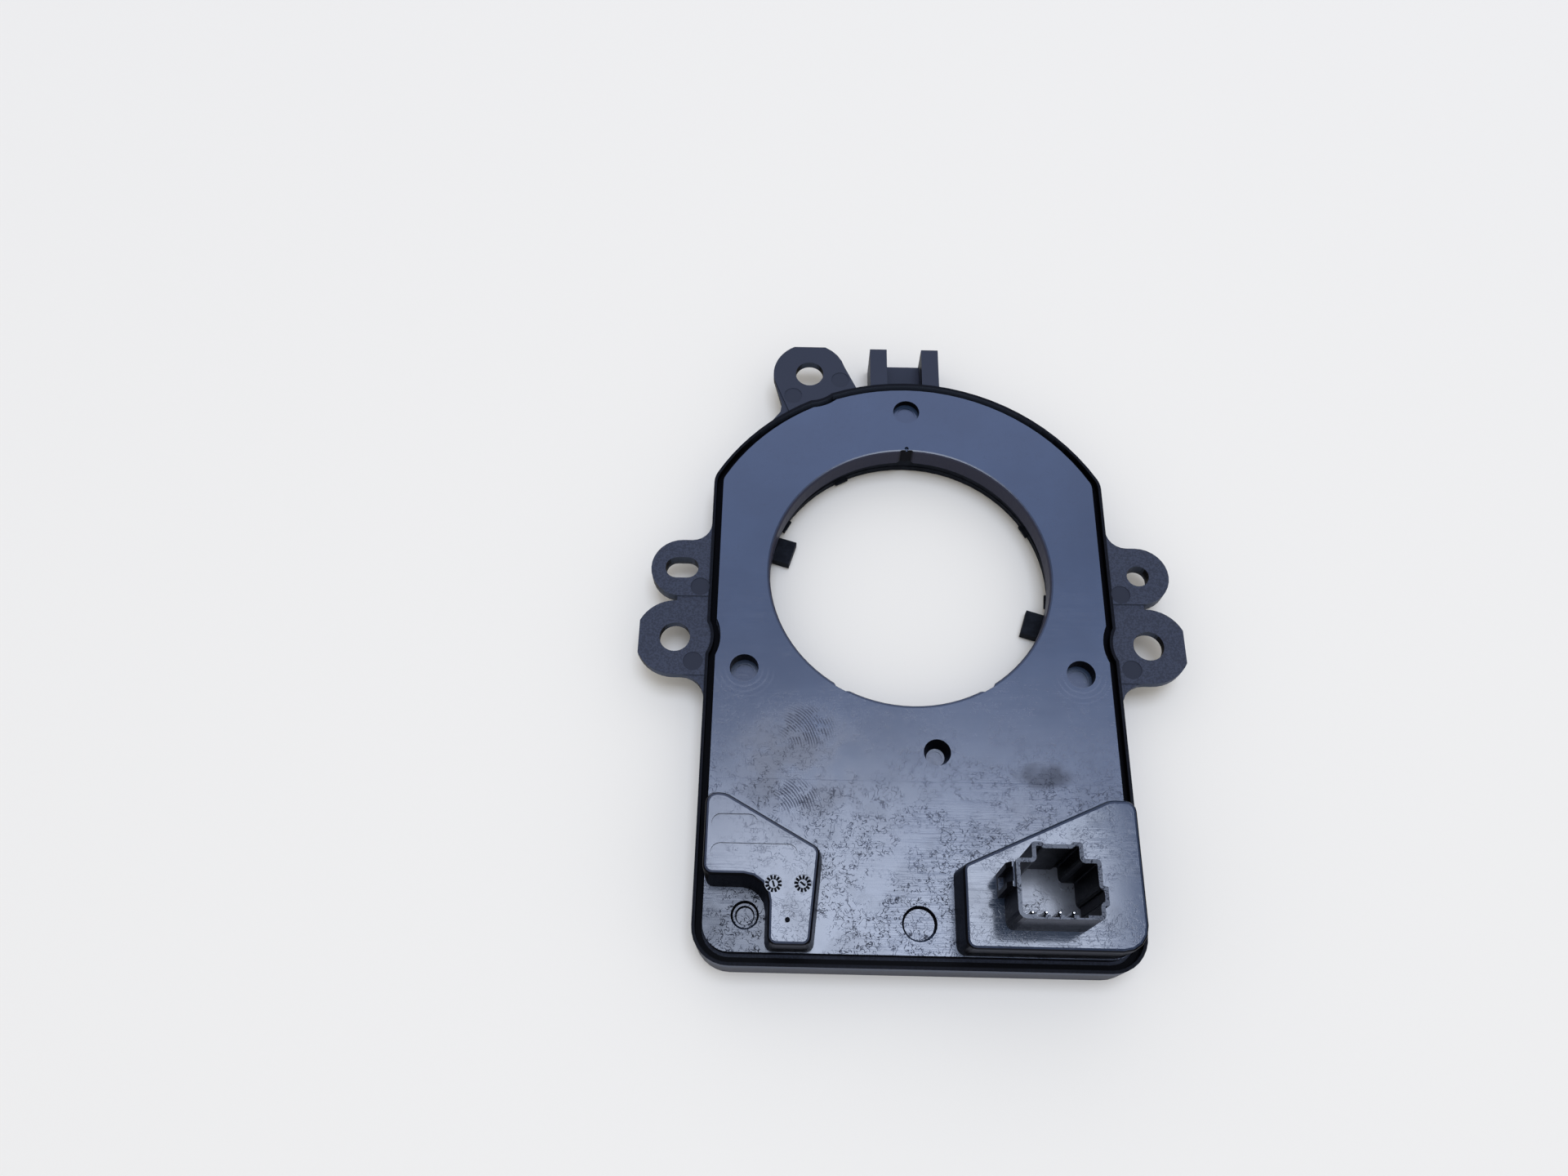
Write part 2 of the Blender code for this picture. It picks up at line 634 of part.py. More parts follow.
def side_ear_tools(side):
    """Fixing ear, its web and the locating ear on one side."""
    name = "right" if side > 0 else "left"
    root = HALF_WIDTH - WALL_THICKNESS
    hole = (SIDE_EAR_X, SIDE_EAR_Y)
    half = math.degrees(math.acos(EAR_FLAT / EAR_RADIUS))
    ear_high = SIDE_EAR_Y + EAR_RADIUS
    ear_low = SIDE_EAR_Y - EAR_RADIUS
    outer = arc(hole, EAR_RADIUS, -90.0, -half, EAR_STEPS)
    outer += arc(hole, EAR_RADIUS, half, 90.0, EAR_STEPS)
    pad = [(root, ear_low)] + outer + [(root, ear_high)]
    slim = EAR_RADIUS - WEB_INSET
    web_outer = arc(hole, slim, -90.0, -half, EAR_STEPS) + arc(hole, slim, half, 90.0, EAR_STEPS)
    foot_centre = (HALF_WIDTH + SIDE_FILLET, ear_low - SIDE_FILLET + WEB_INSET)
    foot = arc(foot_centre, SIDE_FILLET, 180.0, 90.0, FOOT_STEPS)
    web = [(root, ear_low - SIDE_FILLET)] + foot + web_outer
    web += [(SIDE_EAR_X, LOCATOR_Y), (root, LOCATOR_Y)]
    centre = (LOCATOR_X, LOCATOR_Y)
    head = arc(centre, LOCATOR_RADIUS, -90.0, 90.0, HIDDEN_STEPS)
    shoulder = LOCATOR_Y + LOCATOR_RADIUS + LOCATOR_FILLET
    neck_centre = (HALF_WIDTH + LOCATOR_FILLET, shoulder)
    neck = arc(neck_centre, LOCATOR_FILLET, 270.0, 180.0, FOOT_STEPS)
    locator = [(root, LOCATOR_Y - LOCATOR_RADIUS)] + head + neck + [(root, shoulder)]
    web_top = EAR_TOP - WEB_DROP
    return [
        prism(f"{name}_web", [mirrored(web, side)], EAR_BOTTOM, web_top),
        prism(f"{name}_ear", [mirrored(pad, side)], EAR_BOTTOM + WEB_INSET, EAR_TOP),
        prism(f"{name}_locator", [mirrored(locator, side)], EAR_TOP - LOCATOR_THICKNESS, EAR_TOP),
    ]


def top_ear_tools():
    """Fixing ear beside the fork with its lower web."""
    hole = (TOP_EAR_X, TOP_EAR_Y)
    inner = FAR_RADIUS - WALL_THICKNESS
    half = math.degrees(math.acos(EAR_FLAT / EAR_RADIUS))
    ear = arc(hole, EAR_RADIUS, TOP_EAR_START, 90.0 - half, CORNER_STEPS)
    ear += arc(hole, EAR_RADIUS, 90.0 + half, TOP_EAR_END, END_STEPS)
    pad = ear + [polar(inner, TOP_EAR_LEFT_ROOT - TOP_EAR_ROOT_INSET), polar(inner, TOP_EAR_RIGHT_ROOT)]
    slim = EAR_RADIUS - WEB_INSET
    web = arc(hole, slim, TOP_WEB_START, 90.0 - half, CORNER_STEPS)
    web += arc(hole, slim, 90.0 + half, TOP_EAR_END, END_STEPS)
    web += [polar(FAR_RADIUS + reach, degrees) for reach, degrees in TOP_FLARE]
    web += [polar(inner, TOP_FLARE[-1][1]), polar(inner, TOP_EAR_RIGHT_ROOT + TOP_WEB_ROOT_INSET)]
    return [
        prism("top_web", [web], EAR_BOTTOM, EAR_TOP - WEB_DROP),
        prism("top_ear", [pad], EAR_BOTTOM + WEB_INSET, EAR_TOP),
    ]


def fork_tools():
    """Two prongs and the low bridge between them."""
    root = FAR_RADIUS - WALL_THICKNESS
    tip = FAR_RADIUS + PRONG_REACH
    inner = FORK_HALF_GAP
    outer = FORK_HALF_GAP + PRONG_WIDTH
    tools = []
    for side in (1, -1):
        prong = mirrored(rectangle(inner, outer, root, tip), side)
        tools.append(prism(f"prong_{side}", [prong], 0.0, EAR_TOP))
    bridge = rectangle(-inner - EMBED, inner + EMBED, root, FAR_RADIUS + BRIDGE_REACH)
    tools.append(prism("bridge", [bridge], 0.0, BRIDGE_THICKNESS))
    return tools


def gear_centre(key):
    """Axis of a measuring gear, at its mesh distance from the bore's axis."""
    distance = RING_PITCH_RADIUS + GEAR_TEETH[key] * MODULE / 2
    return polar(distance, GEAR_ANGLES[key])


def dimple_bottom(dimple, floor):
    """Height of the underside of a dimple's cup."""
    return COVER_TOP - dimple[4] - floor


def cover_posts():
    """Posts that stand under the deep dimples of the cover."""
    places = [SIDE_DIMPLE, (-SIDE_DIMPLE[0], *SIDE_DIMPLE[1:]), TOP_DIMPLE]
    tools = []
    for i, dimple in enumerate(places):
        top = dimple_bottom(dimple, DIMPLE_FLOOR) - SEAT_GAP
        bottom = FLOOR_THICKNESS - EMBED
        tools.append(cylinder(f"cover_post_{i}", dimple[:2], COVER_POST_RADIUS, bottom, top, HIDDEN_STEPS))
    return tools


def board_post_places():
    """Four posts under the circuit board."""
    x, y = HALF_WIDTH - BOARD_POST_INSET, BOARD_POST_OVERLAP - RING_TIP_RADIUS
    near_x, near_y = CORNER_DIMPLE[:2]
    return [(x, y), (-x, y), (near_x, near_y), (-near_x, near_y)]


def board_posts():
    """Posts with locating pins for the circuit board."""
    bottom = FLOOR_THICKNESS - EMBED
    shoulder = BOARD_BOTTOM - SEAT_GAP
    tools = []
    for i, place in enumerate(board_post_places()):
        post = cylinder(f"board_post_{i}", place, BOARD_POST_RADIUS, bottom, shoulder, HIDDEN_STEPS)
        pin = cylinder(f"board_pin_{i}", place, BOARD_PIN_RADIUS, shoulder - EMBED, BOARD_TOP, HIDDEN_STEPS)
        tools += [post, pin]
    return tools


def gear_spigots():
    """Fixed shafts of the two measuring gears."""
    bottom = FLOOR_THICKNESS - EMBED
    top = FLANGE_BOTTOM + MAGNET_SEAT - SHAFT_GAP
    return [
        cylinder(f"spigot_{key}", gear_centre(key), SPIGOT_RADIUS, bottom, top, HIDDEN_STEPS)
        for key in GEAR_TEETH]


def ear_holes():
    """Screw holes, locating hole and slot, and the ejector marks."""
    low, high = EAR_TOP - LOCATOR_THICKNESS - OVERRUN, EAR_TOP + OVERRUN
    tools = [cylinder("top_ear_hole", (TOP_EAR_X, TOP_EAR_Y), EAR_HOLE_RADIUS, low, high, MEDIUM_STEPS)]
    for side in (1, -1):
        hole = (side * SIDE_EAR_X, SIDE_EAR_Y)
        tools.append(cylinder(f"ear_hole_{side}", hole, EAR_HOLE_RADIUS, low, high, MEDIUM_STEPS))
    locator = (LOCATOR_X, LOCATOR_Y)
    tools.append(cylinder("locator_hole", locator, LOCATOR_HOLE_RADIUS, low, high))
    half_width = LOCATOR_SLOT_WIDTH / 2
    reach = LOCATOR_SLOT_LENGTH / 2 - half_width
    slot = arc((reach - LOCATOR_X, LOCATOR_Y), half_width, -90.0, 90.0, END_STEPS)
    slot += arc((-reach - LOCATOR_X, LOCATOR_Y), half_width, 90.0, 270.0, END_STEPS)
    tools.append(prism("locator_slot", [slot], low, high))
    return tools + ejector_marks()


def ejector_marks():
    """Shallow round marks beside the ears' holes."""
    places = [(TOP_EAR_X + dx, TOP_EAR_Y + dy) for dx, dy in TOP_EAR_MARKS]
    for side in (1, -1):
        places.append((side * (LOCATOR_X + LOCATOR_MARK[0]), LOCATOR_Y + LOCATOR_MARK[1]))
        places.append((side * (SIDE_EAR_X + SIDE_EAR_MARK[0]), SIDE_EAR_Y + SIDE_EAR_MARK[1]))
    low, high = EAR_TOP - MARK_DEPTH, EAR_TOP + OVERRUN
    return [cylinder(f"mark_{i}", place, MARK_RADIUS, low, high) for i, place in enumerate(places)]


def housing_base(look):
    """Lower shell: floor, stepped wall, ears, fork and posts."""
    piece = prism("housing_base", [wall_outline(0.0)], 0.0, RIM_TOP, PARTS)
    join(piece, side_ear_tools(1) + side_ear_tools(-1) + top_ear_tools() + fork_tools())
    high = RIM_TOP + OVERRUN
    cut(piece, [
        prism("cavity", [wall_outline(WALL_THICKNESS)], FLOOR_THICKNESS, high),
        prism("ledge_pocket", [wall_outline(SHOULDER_THICKNESS)], LEDGE_TOP, high),
        prism("lip_pocket", [wall_outline(LIP_THICKNESS)], COVER_TOP - LIP_DEPTH, high),
    ])
    join(piece, cover_posts() + board_posts() + gear_spigots())
    ring_hole = cylinder(
        "ring_hole", (0.0, 0.0), HUB_OUTER + SEAT_GAP, -OVERRUN, FLOOR_THICKNESS + OVERRUN, LARGE_STEPS)
    cut(piece, ear_holes() + [ring_hole])
    return finish(piece, look)


def left_pad_corners():
    """Outline of the left pad's top, with its leg towards the near edge."""
    side = COVER_INSET + PAD_EDGE_SETBACK
    near = side + NEAR_GROOVE_EXTRA
    return [
        (*from_walls(-1, (side, PAD_RISE)), PAD_SIDE_RADIUS, False),
        (*from_walls(-1, (side, RECESS_RISE)), LEFT_PAD_TIP_RADIUS, True),
        (*from_walls(-1, (LEG_INSET, RECESS_RISE)), LEG_INNER_RADIUS, True),
        (*from_walls(-1, (LEG_INSET, near)), LEG_END_RADIUS, False),
        (*from_walls(-1, (LEFT_PAD_FOOT_INSET, near)), LEG_END_RADIUS, True),
        (*from_walls(-1, (LEFT_PAD_TIP_INSET, LEFT_PAD_TIP_RISE)), LEFT_PAD_TIP_RADIUS, True),
        (*from_walls(-1, (LEFT_PAD_SHOULDER_INSET, PAD_RISE)), PAD_SHOULDER_RADIUS, True),
    ]


def right_pad_corners():
    """Outline of the right pad's top."""
    side = COVER_INSET + PAD_EDGE_SETBACK
    near = side + NEAR_GROOVE_EXTRA
    return [
        (*from_walls(1, (RIGHT_PAD_INSET, near)), LEFT_PAD_TIP_RADIUS, False),
        (*from_walls(1, (side, near)), RIGHT_PAD_CORNER_RADIUS, False),
        (*from_walls(1, (side, PAD_RISE)), PAD_SIDE_RADIUS, True),
        (*from_walls(1, (RIGHT_PAD_SHOULDER_INSET, PAD_RISE)), PAD_SHOULDER_RADIUS, True),
        (*from_walls(1, (RIGHT_PAD_INSET, RIGHT_PAD_TIP_RISE)), RIGHT_PAD_TIP_RADIUS, True),
    ]


def pad_block(name, corners):
    """Drafted block with a filleted top edge."""
    rings = [(COVER_BOTTOM + EMBED, rounded(corners, 0.0, PAD_DRAFT))]
    for angle in FILLET_ANGLES:
        inset = PAD_FILLET * (1 - math.cos(math.radians(angle)))
        height = PAD_TOP - PAD_FILLET * (1 - math.sin(math.radians(angle)))
        rings.append((height, rounded(corners, inset)))
    return loft(name, rings)


def pad_hollow(name, corners):
    """Space inside a pad, open below."""
    return loft(name, [
        (SKIRT_BOTTOM - OVERRUN, rounded(corners, PAD_WALL, PAD_DRAFT)),
        (PAD_TOP - PAD_WALL, rounded(corners, PAD_WALL)),
    ])


def deep_dimples():
    """The four dimples round the bore."""
    return [SIDE_DIMPLE, (-SIDE_DIMPLE[0], *SIDE_DIMPLE[1:]), TOP_DIMPLE, MIDDLE_DIMPLE]


def dimples():
    """All dimples with the thickness of their floors."""
    deep = [(dimple, DIMPLE_FLOOR) for dimple in deep_dimples()]
    return deep + [(NEAR_DIMPLE, DIMPLE_FLOOR), (CORNER_DIMPLE, THIN_DIMPLE_FLOOR)]


def dimple_cups():
    """Cups that hang below the cover round each dimple."""
    tools = []
    for i, (dimple, floor) in enumerate(dimples()):
        x, y, radius, _, _ = dimple
        bottom = dimple_bottom(dimple, floor)
        outer = radius + DIMPLE_WALL
        tools.append(cylinder(f"cup_{i}", (x, y), outer, bottom, COVER_TOP - EMBED, HIDDEN_STEPS))
    return tools


def dimple_cut(name, dimple):
    """Round, slightly tapered hollow in the cover's top."""
    x, y, radius, floor_radius, depth = dimple
    taper = (radius - floor_radius) / depth
    high_radius = radius + taper * OVERRUN
    return cone(name, (x, y), floor_radius, high_radius, COVER_TOP - depth, COVER_TOP + OVERRUN, SMALL_STEPS)


def dimple_cuts():
    """All dimples, with a wider step round the top of the corner one."""
    tools = [dimple_cut(f"dimple_{i}", dimple) for i, (dimple, _) in enumerate(dimples())]
    return tools + [dimple_cut("corner_ledge", (*CORNER_DIMPLE[:2], *CORNER_LEDGE_SHAPE))]


def dimple_marks():
    """Shallow round marks of the core pins in the floors of the deep dimples."""
    tools = []
    for i, (x, y, _, floor_radius, depth) in enumerate(deep_dimples()):
        radius = floor_radius * DIMPLE_MARK_SHARE
        low, high = COVER_TOP - depth - MARK_DEPTH, COVER_TOP - depth + EMBED
        tools.append(cylinder(f"dimple_mark_{i}", (x, y), radius, low, high, SMALL_STEPS))
    return tools


def socket_outline():
    """Outside of the socket: a T set back between the key's corners, with a coding rib on its right."""
    left, right = SOCKET_X - SOCKET_WIDTH / 2, SOCKET_X + SOCKET_WIDTH / 2
    low, high = SOCKET_Y - SOCKET_DEPTH / 2, SOCKET_Y + SOCKET_DEPTH / 2
    key_left, key_right = SOCKET_X - KEY_WIDTH / 2, SOCKET_X + KEY_WIDTH / 2
    key_high = high + KEY_DEPTH
    rib_low = SOCKET_Y - RIB_DROP - RIB_LENGTH / 2
    rib_high = rib_low + RIB_LENGTH
    corners = [
        (left, low, SOCKET_LEFT_RADIUS),
        (right, low, SOCKET_RIGHT_RADIUS),
        (right, rib_low, SOCKET_FINE_RADIUS),
        (right + RIB_REACH, rib_low, SOCKET_FINE_RADIUS),
        (right + RIB_REACH, rib_high, SOCKET_FINE_RADIUS),
        (right, rib_high, SOCKET_FINE_RADIUS),
        (right, high, SOCKET_SHOULDER_RADIUS),
        (key_right, high, SOCKET_FINE_RADIUS),
        (key_right, key_high, KEY_CORNER_RADIUS),
        (key_right - KEY_CORNER_WIDTH, key_high, SOCKET_FINE_RADIUS),
        (key_right - KEY_CORNER_WIDTH - KEY_SET_BACK, key_high - KEY_SET_BACK, SOCKET_FINE_RADIUS),
        (key_left + KEY_CORNER_WIDTH + KEY_SET_BACK, key_high - KEY_SET_BACK, SOCKET_FINE_RADIUS),
        (key_left + KEY_CORNER_WIDTH, key_high, SOCKET_FINE_RADIUS),
        (key_left, key_high, KEY_CORNER_RADIUS),
        (key_left, high, SOCKET_FINE_RADIUS),
        (left, high, SOCKET_SHOULDER_RADIUS),
    ]
    return [(*corner, False) for corner in corners]


def contact_slots():
    """Slots down the inside of the socket's near wall, one behind each contact."""
    low = SOCKET_Y - SOCKET_DEPTH / 2 + SOCKET_WALL - SLOT_DEPTH
    size = (SLOT_WIDTH, SLOT_DEPTH + EMBED, SOCKET_RIM - SOCKET_FLOOR + OVERRUN)
    return [
        box(f"contact_slot_{i}", (x, low + size[1] / 2), size, SOCKET_FLOOR)
        for i, (x, _) in enumerate(contact_places())]


def latch_nose():
    """Wedge on the socket's left that the plug's latch snaps behind."""
    left = SOCKET_X - SOCKET_WIDTH / 2
    low = SOCKET_Y + LATCH_RISE - LATCH_LENGTH / 2
    high = low + LATCH_LENGTH
    inner = left + SOCKET_WALL / 2
    bottom = rectangle(left - LATCH_REACH, inner, low, high)
    top = rectangle(left - LATCH_LIP, inner, low, high)
    return loft("latch_nose", [
        (PAD_TOP - EMBED, bottom),
        (SOCKET_RIM - LATCH_DROP, bottom),
        (SOCKET_RIM - LATCH_DROP / 2, top),
    ])


def latch_slot():
    """Slot down the latch nose's outer side."""
    left = SOCKET_X - SOCKET_WIDTH / 2
    size = (LATCH_REACH + OVERRUN, LATCH_SLOT_LENGTH, SOCKET_RIM - PAD_TOP - SLOT_WIDTH)
    centre = (left - size[0] / 2 - EMBED / 2, SOCKET_Y + LATCH_RISE)
    return box("latch_slot", centre, size, PAD_TOP + SLOT_WIDTH)


def contact_places():
    """Positions of the contacts, in one row."""
    start = SOCKET_X - CONTACT_PITCH * (CONTACT_COUNT - 1) / 2
    return [(start + CONTACT_PITCH * i, CONTACT_Y) for i in range(CONTACT_COUNT)]


def contact_hole(name, place, bottom, top):
    """Square hole round a contact."""
    width = CONTACT_WIDTH + 2 * SEAT_GAP
    return box(name, place, (width, width, top - bottom), bottom)


def collar_notches():
    """Small tapered notches in the collar's inner edge."""
    half = NOTCH_WIDTH / 2
    tools = []
    for i, degrees in enumerate(NOTCH_ANGLES):
        angle = math.radians(degrees)
        across = (-math.sin(angle), math.cos(angle))
        points = []
        for reach, width in ((-OVERRUN, half), (0.0, half), (NOTCH_DEPTH, half - NOTCH_TAPER)):
            x, y = polar(BORE_RADIUS + reach, degrees)
            points.append((x - across[0] * width, y - across[1] * width))
            points.insert(0, (x + across[0] * width, y + across[1] * width))
        tools.append(prism(f"notch_{i}", [points], COLLAR_BOTTOM - OVERRUN, COVER_TOP + OVERRUN))
    return tools


def notch_mark():
    """Small round mark in the cover above the far notch."""
    centre = polar(BORE_RADIUS + NOTCH_MARK_SETBACK, NOTCH_ANGLES[0])
    low, high = COVER_TOP - NOTCH_MARK_DEPTH, COVER_TOP + OVERRUN
    return cylinder("notch_mark", centre, NOTCH_MARK_RADIUS, low, high, MARK_STEPS)


def bore_cutter():
    """Shaft bore with a rounded upper edge."""
    profile = [(0.0, COVER_TOP + OVERRUN), (BORE_RADIUS + BORE_FILLET, COVER_TOP + OVERRUN)]
    for angle in reversed(FILLET_ANGLES):
        radius = BORE_RADIUS + BORE_FILLET * (1 - math.cos(math.radians(angle)))
        height = COVER_TOP - BORE_FILLET * (1 - math.sin(math.radians(angle)))
        profile.append((radius, height))
    profile += [(BORE_RADIUS, COLLAR_BOTTOM - OVERRUN), (0.0, COLLAR_BOTTOM - OVERRUN)]
    return turned("bore", profile, LARGE_STEPS)


def label_recesses():
    """Two bare recesses with round ends on the left pad."""
    tools = []
    for i, (inset, low, high) in enumerate((UPPER_LABEL, LOWER_LABEL)):
        radius = (high - low) / 2
        middle = (low + high) / 2
        inner = from_walls(-1, (inset - radius, middle))
        outer = from_walls(-1, (LABEL_INSET + radius, middle))
        points = arc(inner, radius, -90.0, 90.0, EAR_STEPS)
        points += arc(outer, radius, 90.0, 270.0, EAR_STEPS)
        tools.append(prism(f"label_{i}", [points], PAD_TOP - LABEL_DEPTH, PAD_TOP + OVERRUN))
    return tools


def dial_cuts():
    """Round dials on the left pad's leg."""
    low, high = PAD_TOP - DIAL_DEPTH, PAD_TOP + OVERRUN
    return [
        cylinder(f"dial_{i}", from_walls(-1, place), DIAL_RADIUS, low, high)
        for i, place in enumerate(DIALS)]


def housing_cover(look):
    """Upper shell: plate with skirt, collar, dimples, pads and socket."""
    piece = prism(
        "housing_cover", [wall_outline(COVER_INSET, NEAR_GROOVE_EXTRA)], SKIRT_BOTTOM, COVER_TOP, PARTS)
    join(piece, [pad_block("left_pad", left_pad_corners()), pad_block("right_pad", right_pad_corners())])
    under = wall_outline(SKIRT_INSET, NEAR_GROOVE_EXTRA)
    cut(piece, [
        prism("under_plate", [under], SKIRT_BOTTOM - OVERRUN, COVER_BOTTOM),
        pad_hollow("left_hollow", left_pad_corners()),
        pad_hollow("right_hollow", right_pad_corners()),
    ])
    collar_radius = BORE_RADIUS + COLLAR_WALL
    join(piece, dimple_cups() + [
        cylinder("collar", (0.0, 0.0), collar_radius, COLLAR_BOTTOM, COVER_TOP - EMBED, LARGE_STEPS),
        prism("socket", [rounded(socket_outline(), steps=3)], SOCKET_BOTTOM, SOCKET_RIM),
        latch_nose(),
    ])
    cut(piece, dimple_cuts() + dimple_marks() + label_recesses() + dial_cuts() + collar_notches() + [
        bore_cutter(),
        notch_mark(),
        latch_slot(),
        prism("socket_opening", [rounded(socket_outline(), SOCKET_WALL, steps=3)],
              SOCKET_FLOOR, SOCKET_RIM + OVERRUN),
    ] + contact_slots() + [
        contact_hole(f"contact_hole_{i}", place, SOCKET_BOTTOM - OVERRUN, SOCKET_FLOOR + OVERRUN)
        for i, place in enumerate(contact_places())
    ])
    return finish(piece, look)


def gear_outline(teeth, phase):
    """Toothed outline with straight flanks, one tooth centred at the phase angle."""
    pitch_radius = teeth * MODULE / 2
    tip = pitch_radius + ADDENDUM * MODULE
    root = pitch_radius - DEDENDUM * MODULE
    half = math.pi * MODULE / 4 - TOOTH_SLIMMING
    lean = math.tan(math.radians(PRESSURE_ANGLE))
    tip_half = math.degrees((half - ADDENDUM * MODULE * lean) / tip)
    root_half = math.degrees((half + DEDENDUM * MODULE * lean) / root)
    root_half = min(root_half, 180.0 / teeth * ROOT_SHARE)
    points = []
    for i in range(teeth):
        middle = phase + 360.0 * i / teeth
        points.append(polar(root, middle - root_half))
        points.append(polar(tip, middle - tip_half))
        points.append(polar(tip, middle + tip_half))
        points.append(polar(root, middle + root_half))
    return points


def mesh_phase(key):
    """Angle of a measuring gear's tooth that puts its gap round the ring's tooth."""
    teeth = GEAR_TEETH[key]
    ring_step = 360.0 / RING_TEETH
    nearest = round(GEAR_ANGLES[key] / ring_step) * ring_step
    offset = nearest - GEAR_ANGLES[key]
    return GEAR_ANGLES[key] + 180.0 - offset * RING_TEETH / teeth + 180.0 / teeth


def ring_tabs(name, angles, width, reach, bottom, height):
    """Tabs on the hub's inner side that point to the axis."""
    tools = []
    for i, degrees in enumerate(angles):
        depth = reach + EMBED
        centre = polar(HUB_INNER - HUB_STEP - reach + depth / 2, degrees)
        tab = box(f"{name}_{i}", centre, (depth, width, height), bottom)
        tab.rotation_euler.z = math.radians(degrees)
        tools.append(tab)
    return tools


def rotor_ring(look):
    """Driven ring: hub, toothed flange, two lugs and four nibs."""
    piece = prism(
        "rotor_ring", [gear_outline(RING_TEETH, 0.0)], FLANGE_BOTTOM, FLANGE_TOP, PARTS)
    join(piece, [cylinder("hub", (0.0, 0.0), HUB_OUTER, HUB_BOTTOM, HUB_TOP, HUB_STEPS)])
    stepped = HUB_BOTTOM + HUB_STEP_HEIGHT
    cut(piece, [
        cylinder("hub_bore", (0.0, 0.0), HUB_INNER, stepped, HUB_TOP + OVERRUN, HUB_STEPS),
        cylinder("hub_mouth", (0.0, 0.0), HUB_INNER - HUB_STEP, HUB_BOTTOM - OVERRUN, stepped + EMBED,
                 HUB_STEPS),
    ])
    lug_reach = LUG_REACH + HUB_SETBACK - HUB_STEP
    lugs = ring_tabs("lug", LUG_ANGLES, LUG_WIDTH, lug_reach, HUB_BOTTOM + WEB_INSET, LUG_HEIGHT)
    nibs = ring_tabs("nib", NIB_ANGLES, NIB_WIDTH, NIB_REACH, NIB_BOTTOM, NIB_HEIGHT)
    join(piece, lugs + nibs)
    return finish(piece, look)


def measuring_gear(key, look):
    """Toothed wheel on its spigot, with a pocket for its magnet."""
    name = f"measuring_gear_{key}"
    top = FLANGE_BOTTOM + GEAR_THICKNESS
    piece = prism(name, [gear_outline(GEAR_TEETH[key], mesh_phase(key))], FLANGE_BOTTOM, top, PARTS)
    centre = gear_centre(key)
    piece.location.x, piece.location.y = centre
    bore_radius = SPIGOT_RADIUS + SHAFT_GAP
    pocket_radius = MAGNET_RADIUS + SHAFT_GAP
    seat = FLANGE_BOTTOM + MAGNET_SEAT
    cut(piece, [
        cylinder(f"gear_bore_{key}", centre, bore_radius, FLANGE_BOTTOM - OVERRUN, seat + EMBED),
        cylinder(f"magnet_pocket_{key}", centre, pocket_radius, seat, top + OVERRUN),
    ])
    return finish(piece, look)


def gear_magnet(key, look):
    """Round magnet in the gear's pocket."""
    bottom = FLANGE_BOTTOM + MAGNET_SEAT + SHAFT_GAP
    piece = cylinder(
        f"gear_magnet_{key}", gear_centre(key), MAGNET_RADIUS, bottom, bottom + MAGNET_THICKNESS,
        collection=PARTS)
    return finish(piece, look)


def circuit_board(look):
    """Board with an arc round the collar, post holes and contact holes."""
    piece = prism(
        "circuit_board", [wall_outline(BOARD_INSET, NEAR_GROOVE_EXTRA)], BOARD_BOTTOM, BOARD_TOP, PARTS)
    low, high = BOARD_BOTTOM - OVERRUN, BOARD_TOP + OVERRUN
    far = rectangle(-HALF_WIDTH, HALF_WIDTH, BOARD_OVERLAP - RING_TIP_RADIUS, FAR_RADIUS)
    collar_room = BORE_RADIUS + COLLAR_WALL + SEAT_GAP
    cup_room = MIDDLE_DIMPLE[2] + DIMPLE_WALL + SEAT_GAP
    pin_room = BOARD_PIN_RADIUS + SEAT_GAP
    cut(piece, [
        prism("board_far_side", [far], low, high),
        cylinder("collar_room", (0.0, 0.0), collar_room, low, high, LARGE_STEPS),
        cylinder("cup_room", MIDDLE_DIMPLE[:2], cup_room, low, high, HIDDEN_STEPS),
    ] + [
        cylinder(f"post_hole_{i}", place, pin_room, low, high, HIDDEN_STEPS)
        for i, place in enumerate(board_post_places())
    ] + [
        contact_hole(f"board_contact_hole_{i}", place, low, high)
        for i, place in enumerate(contact_places())
    ])
    return finish(piece, look, smooth=False)


def board_component(name, place, size, look, below=False):
    """Rectangular component on the board's upper or lower side."""
    if below:
        bottom = BOARD_BOTTOM - SEAT_GAP - size[2]
    else:
        bottom = BOARD_TOP + SEAT_GAP
    return finish(box(name, place, size, bottom, PARTS), look, smooth=False)


def buffer_capacitor(key, look):
    """Round can on a square base."""
    place = from_walls(CAN_SIDES[key], CAN_PLACES[key])
    bottom = BOARD_TOP + SEAT_GAP
    base = (CAN_BASE_WIDTH, CAN_BASE_WIDTH, CAN_BASE_HEIGHT)
    piece = box(f"buffer_capacitor_{key}", place, base, bottom, PARTS)
    top = bottom + CAN_HEIGHT
    edge = top - CAN_CHAMFER
    join(piece, [
        cylinder(f"can_{key}", place, CAN_RADIUS, bottom + EMBED, edge, SMALL_STEPS),
        cone(f"can_edge_{key}", place, CAN_RADIUS, CAN_RADIUS - CAN_CHAMFER, edge, top, SMALL_STEPS),
    ])
    return finish(piece, look)


def contact_pin(index, place, look):
    """Square contact with a tapered tip, through the board and the socket's floor."""
    bottom = BOARD_BOTTOM - CONTACT_TAIL
    top = SOCKET_FLOOR + CONTACT_STANDOUT
    half = CONTACT_WIDTH / 2
    square = rectangle(-half, half, -half, half)
    tip = rectangle(-half / 2, half / 2, -half / 2, half / 2)
    rings = [(bottom, square), (top - CONTACT_TIP_TAPER, square), (top, tip)]
    piece = loft(f"contact_pin_{index + 1}", rings, PARTS)
    piece.location.x, piece.location.y = place
    return finish(piece, look, smooth=False)


